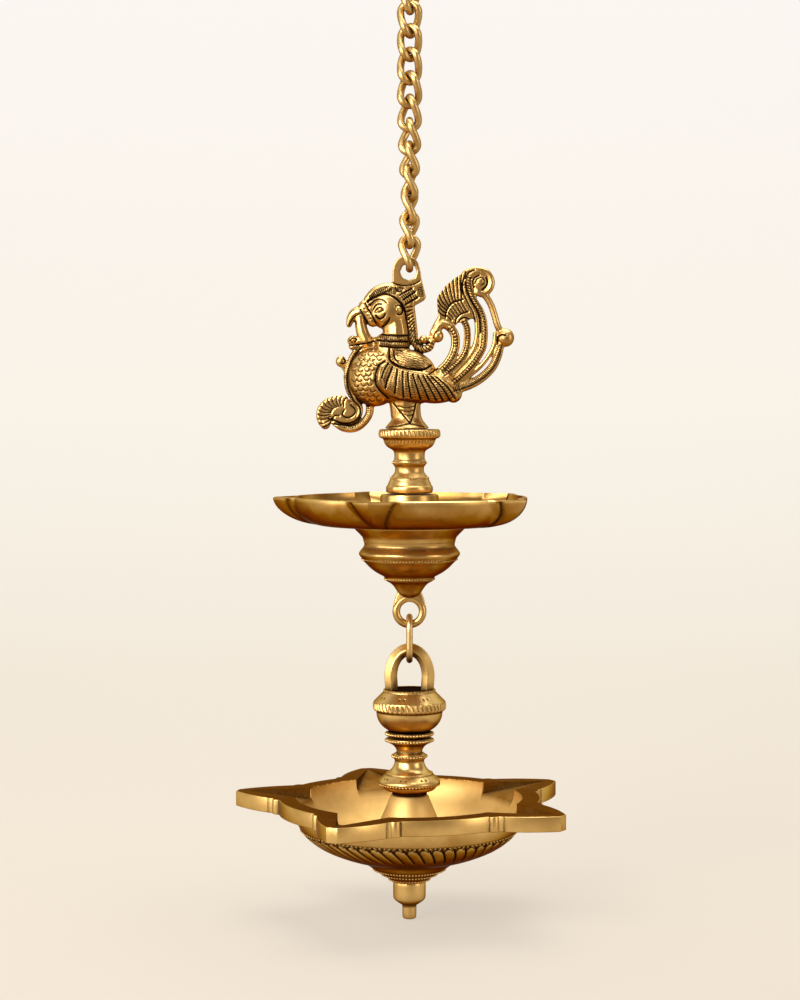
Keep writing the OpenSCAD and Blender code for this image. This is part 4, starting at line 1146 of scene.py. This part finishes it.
# %% Upper dish
dish_tip_r = 65.8
dish_rim_r = 56.8
dish_depth = 13.8
dish_wall = 2.6
dish_base_r = 40
dish_spout_w = 10.3
dish_keel = 1.15
lip_in = 4.5
lip_side = 2.4
dish_spout_at = [math.radians(37 + 72 * k) for k in range(spouts)]
dish_floor = dish_wall - dish_depth
sweep_steps = 14
rows = [(0, 1.2, None), (12.9, 1.2, None), (13.7, 1.0, None), (14, 0.4, None),
        (14, dish_floor + 1.6, None), (14.6, dish_floor + 0.4, None), (16, dish_floor, None)]
rows += [(0, 0, ("inside", 90 - 90 * i / sweep_steps)) for i in range(sweep_steps + 1)]
rows += [(0, 0, ("lip", k)) for k in (0, 0.25, 0.75, 1)]
rows += [(0, 0, ("outside", 90 * i / sweep_steps)) for i in range(sweep_steps + 1)]
rows += [(27.6, -dish_depth, None), (0, -dish_depth, None)]
dish = spun(stand_in(rows), 480, dish_spout_at[0])
tarnish_and_shade = dish.verts.layers.float.new("tarnish_and_shade")
row = dish.verts.layers.int["row"]
patina_and_shade = dish.verts.layers.float["patina_and_shade"]
root_phi = math.asin(dish_spout_w / dish_rim_r)
petal_taper = 0.7
for v in dish.verts:
    r, z, rule = rows[v[row]]
    v[patina_and_shade] = 0
    if rule is None:
        if v[row] in (4, 5):
            v[patina_and_shade] = 0.5
        continue
    phi = from_spout(v, dish_spout_at)
    outer = max(dish_rim_r, spout_reach(phi, dish_tip_r, dish_rim_r, dish_spout_w))
    mouth = max(dish_rim_r - dish_wall,
                spout_reach(phi * 1.1, dish_tip_r - lip_in, dish_rim_r - dish_wall,
                            dish_spout_w - lip_side))
    pinch = (outer - dish_rim_r) / (dish_tip_r - dish_rim_r)
    a = math.radians(rule[1]) if rule[0] != "lip" else 0
    power = 1 + (dish_keel - 1) * pinch
    narrow = 1 - petal_taper * math.sin(a)
    off_crease = (phi - narrow * root_phi) * dish_rim_r
    crease = math.exp(-(off_crease / 0.9) ** 2)
    if rule[0] == "inside":
        low = dish_base_r - dish_wall
        put(v, low + (mouth - low) * math.cos(a), dish_floor * math.sin(a) ** power)
        # Browned and lightly stained inside: painted shade in the hollow.
        v[patina_and_shade] = 0.16
        v[tarnish_and_shade] = 0.6
    elif rule[0] == "outside":
        sunk = 0.6 * crease * math.cos(a) ** 0.5 if a < 1.57 else 0
        petal = max(dish_rim_r, spout_reach(phi / narrow, dish_tip_r, dish_rim_r, dish_spout_w))
        put(v, dish_base_r + (petal - 0.2 - dish_base_r) * math.cos(a) - sunk,
            -0.5 - (dish_depth - 0.5) * math.sin(a) ** power)
        v[patina_and_shade] = max(0.75 * crease, 0.3 * math.exp(-(off_crease / 2.2) ** 2))
    else:
        rounded = -0.5 * (2 * rule[1] - 1) ** 4
        put(v, mouth + 0.3 + (outer - 0.6 - mouth) * rule[1], rounded)
        v[patina_and_shade] = 0.12
finish_piece("spouted_dish", raise_to(dish, top("upper_dish") - 1.2), "upper_lamp", ["upper_dish"],
             turned_brass, crisp_deg=30, sideways_shade=0.55)

# %% [markdown]
# Under the dish hangs a turned boss. It narrows from a flange to a waist, swells to a sharp edge with a
# fine rope line, and draws in to a neck with a round eye cast on it. The eye is a ring of round
# section, spun about its own axis, and a small web fills the corner between it and the neck.

# %% Hanger boss
line = worn([(0, 0), (26.9, 0), (27.2, -0.9), (26.4, -1.8), (25.2, -3.0), (23.9, -4.3), (22.6, -5.7),
             (22.1, -7.5), (21.7, -9.2), (22.0, -10.2), (22.9, -11.2), (24.2, -12.9), (24.4, -13.9),
             (23.6, -15.1), (23.2, -15.5), (22.4, -17.1), (21.6, -17.7), (19.2, -20.3), (16.2, -22.6),
             (13.4, -24.1), (12.6, -24.5), (12.1, -25.0), (11.9, -25.8), (11.5, -26.6), (10.4, -27.2),
             (9.0, -28.0), (7.9, -29.0), (7.0, -30.2), (6.2, -31.4), (5.5, -32.6), (4.6, -33.6),
             (3.4, -34.4), (1.9, -34.9), (0, -35.0)])
boss = spun(line, 288)
beads(boss, r=22.9, z=-16.3, count=96, size=0.8)
beads(boss, r=11.9, z=-25.8, count=56, size=1.0)
beads(boss, r=21.95, z=-7.6, count=130, size=0.5)
beads(boss, r=22.0, z=-10.5, count=110, size=0.65)
eye_hole_r = 4.5
eye_bar = 3.7
eye_mid = (eye_hole_r + eye_bar / 2, 0, 0)
eye_z = -(top("hanger_boss") - foot("hanger_boss")) + eye_hole_r + eye_bar
quarter_turn = Matrix.Rotation(math.pi / 2, 3, "X")
eye = bmesh.new()
patina_and_shade = eye.verts.layers.float.new("patina_and_shade")
bmesh.ops.create_circle(eye, segments=20, radius=eye_bar / 2, matrix=Matrix.Translation(eye_mid))
bmesh.ops.rotate(eye, verts=eye.verts, cent=eye_mid, matrix=quarter_turn)
bmesh.ops.spin(eye, geom=eye.verts[:] + eye.edges[:], cent=(0, 0, 0), axis=(0, 0, 1),
               angle=2 * math.pi, steps=72, use_merge=True)
bmesh.ops.rotate(eye, verts=eye.verts, cent=(0, 0, 0), matrix=quarter_turn)
bmesh.ops.translate(eye, verts=eye.verts, vec=(0, 0, eye_z))
for v in eye.verts:
    inner = eye_hole_r + 0.6 - math.hypot(v.co.x, v.co.z - eye_z)
    v[patina_and_shade] = min(1, max(0, inner / 0.8)) * 0.6
join(boss, eye)
web = bmesh.new()
half_web = [(0, 4.7), (2.4, 4.2), (4.2, 2.8), (7.7, 2.0), (7.4, 4.6), (6.6, 7.2), (5.7, 9.4), (5.0, 11)]
corners = half_web + [(-x, z) for x, z in half_web[:0:-1]]
web_thick = 3.4
face = web.faces.new([web.verts.new((x, -web_thick / 2, eye_z + z)) for x, z in corners])
push_face(web, face, (0, web_thick, 0))
bmesh.ops.bevel(web, geom=web.edges[:], offset=0.7, offset_type="OFFSET", segments=3, profile=0.5,
                affect="EDGES", material=-1)
join(boss, web)
finish_piece("hanger_boss_and_eye", raise_to(boss, top("hanger_boss")), "upper_lamp", ["hanger_boss"],
             turned_brass, sideways_shade=0.42)

# %% [markdown]
# The knop carries the lower lamp. Its loop is a bar with flats, bent to an arch, so it is a small
# polygon spun half round, stretched upwards and drawn down into two legs. The vase under it has a
# beaded top edge, stamped rosettes, a ribbed band and a plain bowl.

# %% Loop knop
knop_h = 20.2
line = worn([(0, -0.6), (11.2, -0.6), (11.6, -0.2), (12.2, -0.3), (12.5, -0.9), (12.6, -1.5),
             (13.2, -2.0), (15.2, -4.0), (16.8, -5.6), (17.2, -6.0), (17.7, -7.0), (17.7, -9.4),
             (17.2, -10.2), (16.4, -10.6), (16.0, -11.0), (15.9, -12.6), (15.5, -14.2), (14.8, -15.9),
             (13.5, -17.7), (11.8, -19.2), (10, -knop_h), (0, -knop_h)])
knop = spun(line, 336)
# The top of the vase inside its bead row is darkened to the stain colour: a painted shadow under the
# loop.
darken_where(knop, lambda r, z: z > -0.7 and r < 11.4, 0.85)
ribs(knop, low=-10.3, high=-6.0, count=46, depth=0.6, slant=0.8, stain=0.55)
beads(knop, r=12.2, z=-0.8, count=46, size=1.1)
stamped(knop, r=15.0, z=-3.9, count=8, turn=math.radians(-104))
loop_r = 12.1
loop_bar = 6.2
loop_h = 21.8
arch_rise = 16
arch_z = loop_h - arch_rise
arch_r = loop_r - loop_bar / 2
leg_lean = 0.5
leg_root = 1.5
loop = bmesh.new()
patina_and_shade = loop.verts.layers.float.new("patina_and_shade")
section = [(3.1, -0.7), (3.1, 0.7), (0.3, 3.1), (-0.5, 3.1), (-3.1, 0.7), (-3.1, -0.7), (-0.5, -3.1),
           (0.3, -3.1)]
face = loop.faces.new([loop.verts.new((arch_r + a, b, arch_z)) for a, b in section])
bmesh.ops.spin(loop, geom=[face], cent=(0, 0, arch_z), axis=(0, -1, 0), angle=math.pi, steps=40,
               use_merge=False)
ends = [f for f in loop.faces if len(f.verts) == len(section)]
for end in ends:
    side = 1 if end.calc_center_median().x > 0 else -1
    push_face(loop, end, (-side * leg_lean, 0, -arch_z - leg_root))
    bmesh.ops.delete(loop, geom=[end], context="FACES_ONLY")
bmesh.ops.remove_doubles(loop, verts=loop.verts, dist=1e-4)
bmesh.ops.recalc_face_normals(loop, faces=loop.faces)
ridges = [e for e in loop.edges if len(e.link_faces) == 2 and e.calc_face_angle(0) > math.radians(28)]
bmesh.ops.bevel(loop, geom=ridges, offset=0.25, offset_type="OFFSET", segments=1, profile=0.5,
                affect="EDGES", material=-1)
# The legs darken near their feet and on the arch's inner faces: painted shade where the loop stands on
# the vase and inside the arch.
for v in loop.verts:
    rise = max(0, v.co.z - arch_z)
    from_middle = math.hypot(v.co.x, rise)
    foot_gap = v.co.z + 0.5
    v[patina_and_shade] = max(0.8 * math.exp(-(foot_gap / 1.6) ** 2), 0.45 if from_middle < arch_r - 2.2 else 0)
    v.co.z += rise / from_middle * (arch_rise - loop_r)
join(knop, loop)
finish_piece("loop_and_vase", raise_to(knop, top("loop_knop") - loop_h), "knop", ["loop_knop"],
             turned_brass, crisp_deg=20)

# %% [markdown]
# Between the knop and the stem lies a loose washer with a beaded edge. Its flat faces lie in shadow and
# hold dirt, so they are darkened to the stain colour: painted shade and dirt together.

# %% Beaded washer
washer_h = top("beaded_washer") - foot("beaded_washer")
line = worn([(0, 0), (10.6, 0), (11.0, -0.4), (11.0, -1.3), (10.6, -1.8), (8.4, -1.9), (8, -2.2),
             (8, -washer_h), (0, -washer_h)])
washer = spun(line, 208)
beads(washer, r=11.2, z=-0.9, count=46, size=1.55)
# Painted shade and dirt on the flat faces.
darken_where(washer, lambda r, z: r < 10.4, 0.8)
finish_piece("beaded_collar", raise_to(washer, top("beaded_washer")), "lower_lamp", ["beaded_washer"],
             turned_brass)

# %% [markdown]
# The stem starts with a second beaded edge, draws in to a neck, has a bead ring and swells to a flat
# bulb with stamped rosettes and a row of small teeth. It is turned in one piece, so it is one profile.

# %% Stem
stem_h = top("stem") - foot("stem")
line = worn([(0, 0), (10.6, 0), (11.1, -0.4), (11.2, -1.2), (10.9, -2.0), (10.0, -2.5), (8.2, -3.4),
             (6.7, -5.0), (6.2, -6.4), (6.3, -7.2), (7.2, -7.6), (7.8, -8.0), (8.1, -8.9), (7.9, -9.9),
             (7.4, -10.5), (7.1, -11.0), (7.1, -12.0), (8.0, -14.4), (9.6, -16.2), (11.2, -16.9),
             (11.5, -17.2), (11.4, -17.7), (12.2, -18.2), (14.0, -19.8), (14.9, -21.0), (14.9, -22.0),
             (14.3, -22.9), (13.4, -23.3), (13.2, -23.9), (12.0, -25.2), (9.6, -25.9), (8.4, -26.2),
             (8.3, -stem_h), (0, -stem_h)])
stem = spun(line, 288)
beads(stem, r=11.3, z=-1.2, count=46, size=1.45)
beads(stem, r=8.2, z=-9.0, count=34, size=1.4)
beads(stem, r=14.4, z=-22.5, count=56, size=1.15)
stamped(stem, r=13.4, z=-19.4, count=8, turn=math.radians(-103))
# The spigot under the bulb is darkened to the stain colour: painted shade in the gap over the pan's
# pillar.
darken_where(stem, lambda r, z: z < -25.8, 0.8)
finish_piece("turned_stem", raise_to(stem, top("stem")), "lower_lamp", ["stem"],
             turned_brass)

# %% [markdown]
# The lower pan is a bowl with a thick star-shaped rim. In each spout a wedge-shaped channel runs from
# the bowl towards the tip, where the wick lies. The pan is spun with rows for the bowl, the channel,
# the rim's top, side and underside, and the outer bowl. In a column that crosses a channel the upper
# bowl rows become its floor. Soot and oil have left the rim's top and the channels brown, and the bowl
# is brushed.

# %% Lower pan
pan_tip_r = 86.4
pan_rim_r = 63.4
pan_rim_h = 7.2
pan_mouth_r = 54.4
pan_bowl_r = 55.2
pan_bowl_h = 25.8
pan_spout_w = 18
rib_r = 2.8
pan_spout_at = [math.radians(a) for a in (33, 105, 168, 246, 325)]
floor = -pan_rim_h - pan_bowl_h + 4
channel_end = 83
channel_w = 13.2
channel_depth = 5.5
channel_start = math.sqrt(pan_mouth_r ** 2 - channel_w ** 2)
channel_phi = math.asin(channel_w / pan_mouth_r)
channel_a = math.asin(channel_depth / -floor)
rib_at = math.asin(pan_spout_w / pan_rim_r) + math.asin(rib_r / pan_rim_r) / 2
collar_h = 8
bowl_foot = -pan_rim_h - pan_bowl_h


def pan_outline(phi):
    reach = max(pan_rim_r, spout_reach(phi, pan_tip_r + 2.2, pan_rim_r, pan_spout_w))
    reach = min(reach, pan_tip_r / max(math.cos(phi * 2.2), 0.5))
    gap = pan_rim_r * math.sin(phi - rib_at)
    if abs(gap) < rib_r:
        reach = max(reach, pan_rim_r * math.cos(phi - rib_at) + math.sqrt(rib_r ** 2 - gap ** 2))
    return reach


def channel_edge(phi):
    slope = channel_end - channel_start
    return channel_w * channel_end / (slope * math.sin(phi) + channel_w * math.cos(phi))


rows = [(0, 1, None), (8.6, 1, None), (9.1, 0.6, None)]
pillar_steps = 8
for i in range(1, pillar_steps + 1):
    t = i / pillar_steps
    rows.append((9.3 + 11.4 * t + 0.9 * t ** 8, -26.6 * t, None))
rows += [(0, 0, ("bowl", 90 - i * 6)) for i in range(4, 13)]
rows += [(0, 0, ("channel", i / 8)) for i in range(9)]
rows += [(0, 0, ("plate", k)) for k in (0, 0.04, 0.5, 1)]
rows += [(0, 0, ("side", k)) for k in range(6)]
rows += [(0, 0, ("under", k)) for k in (0.5, 1)]
outer_steps = 30
rows += [(0, 0, ("outer", 66 * i / outer_steps)) for i in range(1, outer_steps + 1)]
cove = [(20.4, bowl_foot + 0.4), (17.6, bowl_foot - 1.6), (16.6, bowl_foot - 2.2),
        (15.4, bowl_foot - 2.9), (13.6, bowl_foot - 4.2), (12.9, bowl_foot - 4.6),
        (11.6, bowl_foot - 5.4), (10.2, bowl_foot - 6.4), (9.6, bowl_foot - 6.8), (9.2, bowl_foot - 7.4),
        (8.5, bowl_foot - collar_h), (0, bowl_foot - collar_h)]
rows += [(r, z, None) for r, z in cove]
pan = spun(stand_in(rows), 600, pan_spout_at[0])
for layer in ("tarnish_and_shade", "satin"):
    pan.verts.layers.float.new(layer)
tarnish_and_shade, satin, patina_and_shade = [pan.verts.layers.float[name] for name in ("tarnish_and_shade", "satin", "patina_and_shade")]
row = pan.verts.layers.int["row"]
outer_row = [rule and rule[0] for _, _, rule in rows].index("outer")
side_rows = ((0.45, 0), (0.12, -0.14), (0, -0.5), (0, 0.5 - pan_rim_h), (0.12, 0.14 - pan_rim_h),
             (0.45, -pan_rim_h))
for v in pan.verts:
    r, z, rule = rows[v[row]]
    v[patina_and_shade] = 0
    if rule is None:
        v[satin] = 1 if z > floor else 0
        continue
    kind, k = rule
    v[satin] = {"bowl": 1, "channel": 1, "plate": 0.6}.get(kind, 0)
    phi = from_spout(v, pan_spout_at)
    outline = pan_outline(phi)
    in_channel = phi < channel_phi - 1e-6
    edge_r = channel_edge(phi) if in_channel else pan_mouth_r
    if kind == "bowl":
        a = max(math.radians(k), channel_a)
        put(v, pan_mouth_r * math.cos(a), floor * math.sin(a))
    elif kind == "channel":
        lip_r = pan_mouth_r * math.cos(channel_a)
        if in_channel:
            r = lip_r + (edge_r - lip_r) * k
            to_tip = max(0, channel_end - r * math.cos(phi))
            put(v, r, -channel_depth * to_tip / (channel_end - channel_start))
            v[patina_and_shade] = 0.3 + 0.2 * k
            v[tarnish_and_shade] = 0.8
        else:
            a = channel_a * (1 - k)
            put(v, pan_mouth_r * math.cos(a), floor * math.sin(a))
    elif kind == "plate":
        put(v, edge_r + (outline - 0.8 - edge_r) * k, 0)
        v[patina_and_shade] = 0.42
        v[tarnish_and_shade] = 1
    elif kind == "side":
        back, z = side_rows[k]
        put(v, outline - back, z)
        near_rib = abs(pan_rim_r * (phi - rib_at))
        v[patina_and_shade] = 0.7 * math.exp(-((near_rib - rib_r) / 0.5) ** 2)
    elif kind == "under":
        put(v, outline - 0.45 + (pan_bowl_r - outline + 0.45) * k, -pan_rim_h)
        # The rim's underside gets some stain colour: painted shade under the overhang.
        v[patina_and_shade] = 0.3
    elif kind == "outer":
        a = math.radians(k)
        put(v, pan_bowl_r * math.cos(a), -pan_rim_h - pan_bowl_h * math.sin(a))
bmesh.ops.remove_doubles(pan, verts=pan.verts, dist=1e-4)
print("pan before its ornament", len(pan.verts), "vertices")

# %% [markdown]
# A band of slanted leaves runs round the outer bowl, between two stained lines, with a row of dots
# above it and three bead rows on the foot. The leaves are chased on the real pan. Here each vertex of
# the band is pressed in along a leaf's edge and raised in its middle.

# %% Leaves and beads of the pan
leaf_top = -15.9
leaf_foot = -26.0
leaves = 54
leaf_slant = 1.15
leaf_arch = 0.24
leaf_swell = 0.35
leaf_cut = 0.75
dot_up = 0.7
line_down = 0.6
line_w = 0.5
for v in pan.verts:
    r = math.hypot(v.co.x, v.co.y)
    if v[row] < outer_row:
        continue
    if leaf_foot < v.co.z < leaf_top and r > 30:
        t = (leaf_top - v.co.z) / (leaf_top - leaf_foot)
        wave = (math.atan2(v.co.y, v.co.x) * leaves / (2 * math.pi) - leaf_slant * t) % 1
        across = 2 * wave - 1
        crown = leaf_arch * across ** 2
        ends = min(1, 5 * (1 - t))
        groove = max(0, (abs(across) - 0.6) / 0.4, 1 - abs(t - crown) / 0.1) * ends
        swell = (leaf_swell * (1 - across ** 2) if t > crown else 0) * ends
        move = swell - leaf_cut * min(1, groove)
        v.co.x *= 1 + move / r
        v.co.y *= 1 + move / r
        v[patina_and_shade] = max(v[patina_and_shade], 0.85 * min(1, 1.2 * groove))
    for z in (leaf_top + dot_up, leaf_foot - line_down):
        v[patina_and_shade] = max(v[patina_and_shade], 0.6 * math.exp(-((v.co.z - z) / line_w) ** 2))
dot_r = pan_bowl_r * math.cos(math.asin((-leaf_top - dot_up - pan_rim_h) / pan_bowl_h))
beads(pan, r=dot_r, z=leaf_top + dot_up, count=140, size=1.0)
beads(pan, r=17.3, z=bowl_foot - 1.9, count=72, size=1.2)
beads(pan, r=13.4, z=bowl_foot - 4.4, count=56, size=1.1)
beads(pan, r=9.8, z=bowl_foot - 6.9, count=44, size=1.1)
finish_piece("star_pan", raise_to(pan, top("lower_pan") - 1), "lower_lamp", ["lower_pan"],
             turned_brass, crisp_deg=30)

# %% [markdown]
# The drop at the bottom is the nut that holds the lower lamp together: a plain turned drum with a short
# tip to grip it by.

# %% Bottom finial
line = worn([(0, 0), (7.8, 0), (7.9, -0.3), (7.85, -7.6), (7.6, -8.5), (6.9, -9.3), (5.6, -10.3),
             (4.2, -11.2), (3.7, -11.6), (3.4, -12.0), (3.4, -17.2), (3.0, -18.1), (2.2, -18.4),
             (0, -18.4)], 1)
finial = spun(line, 128)
finish_piece("drop_finial", raise_to(finial, top("bottom_finial")), "lower_lamp", ["bottom_finial"],
             turned_brass)
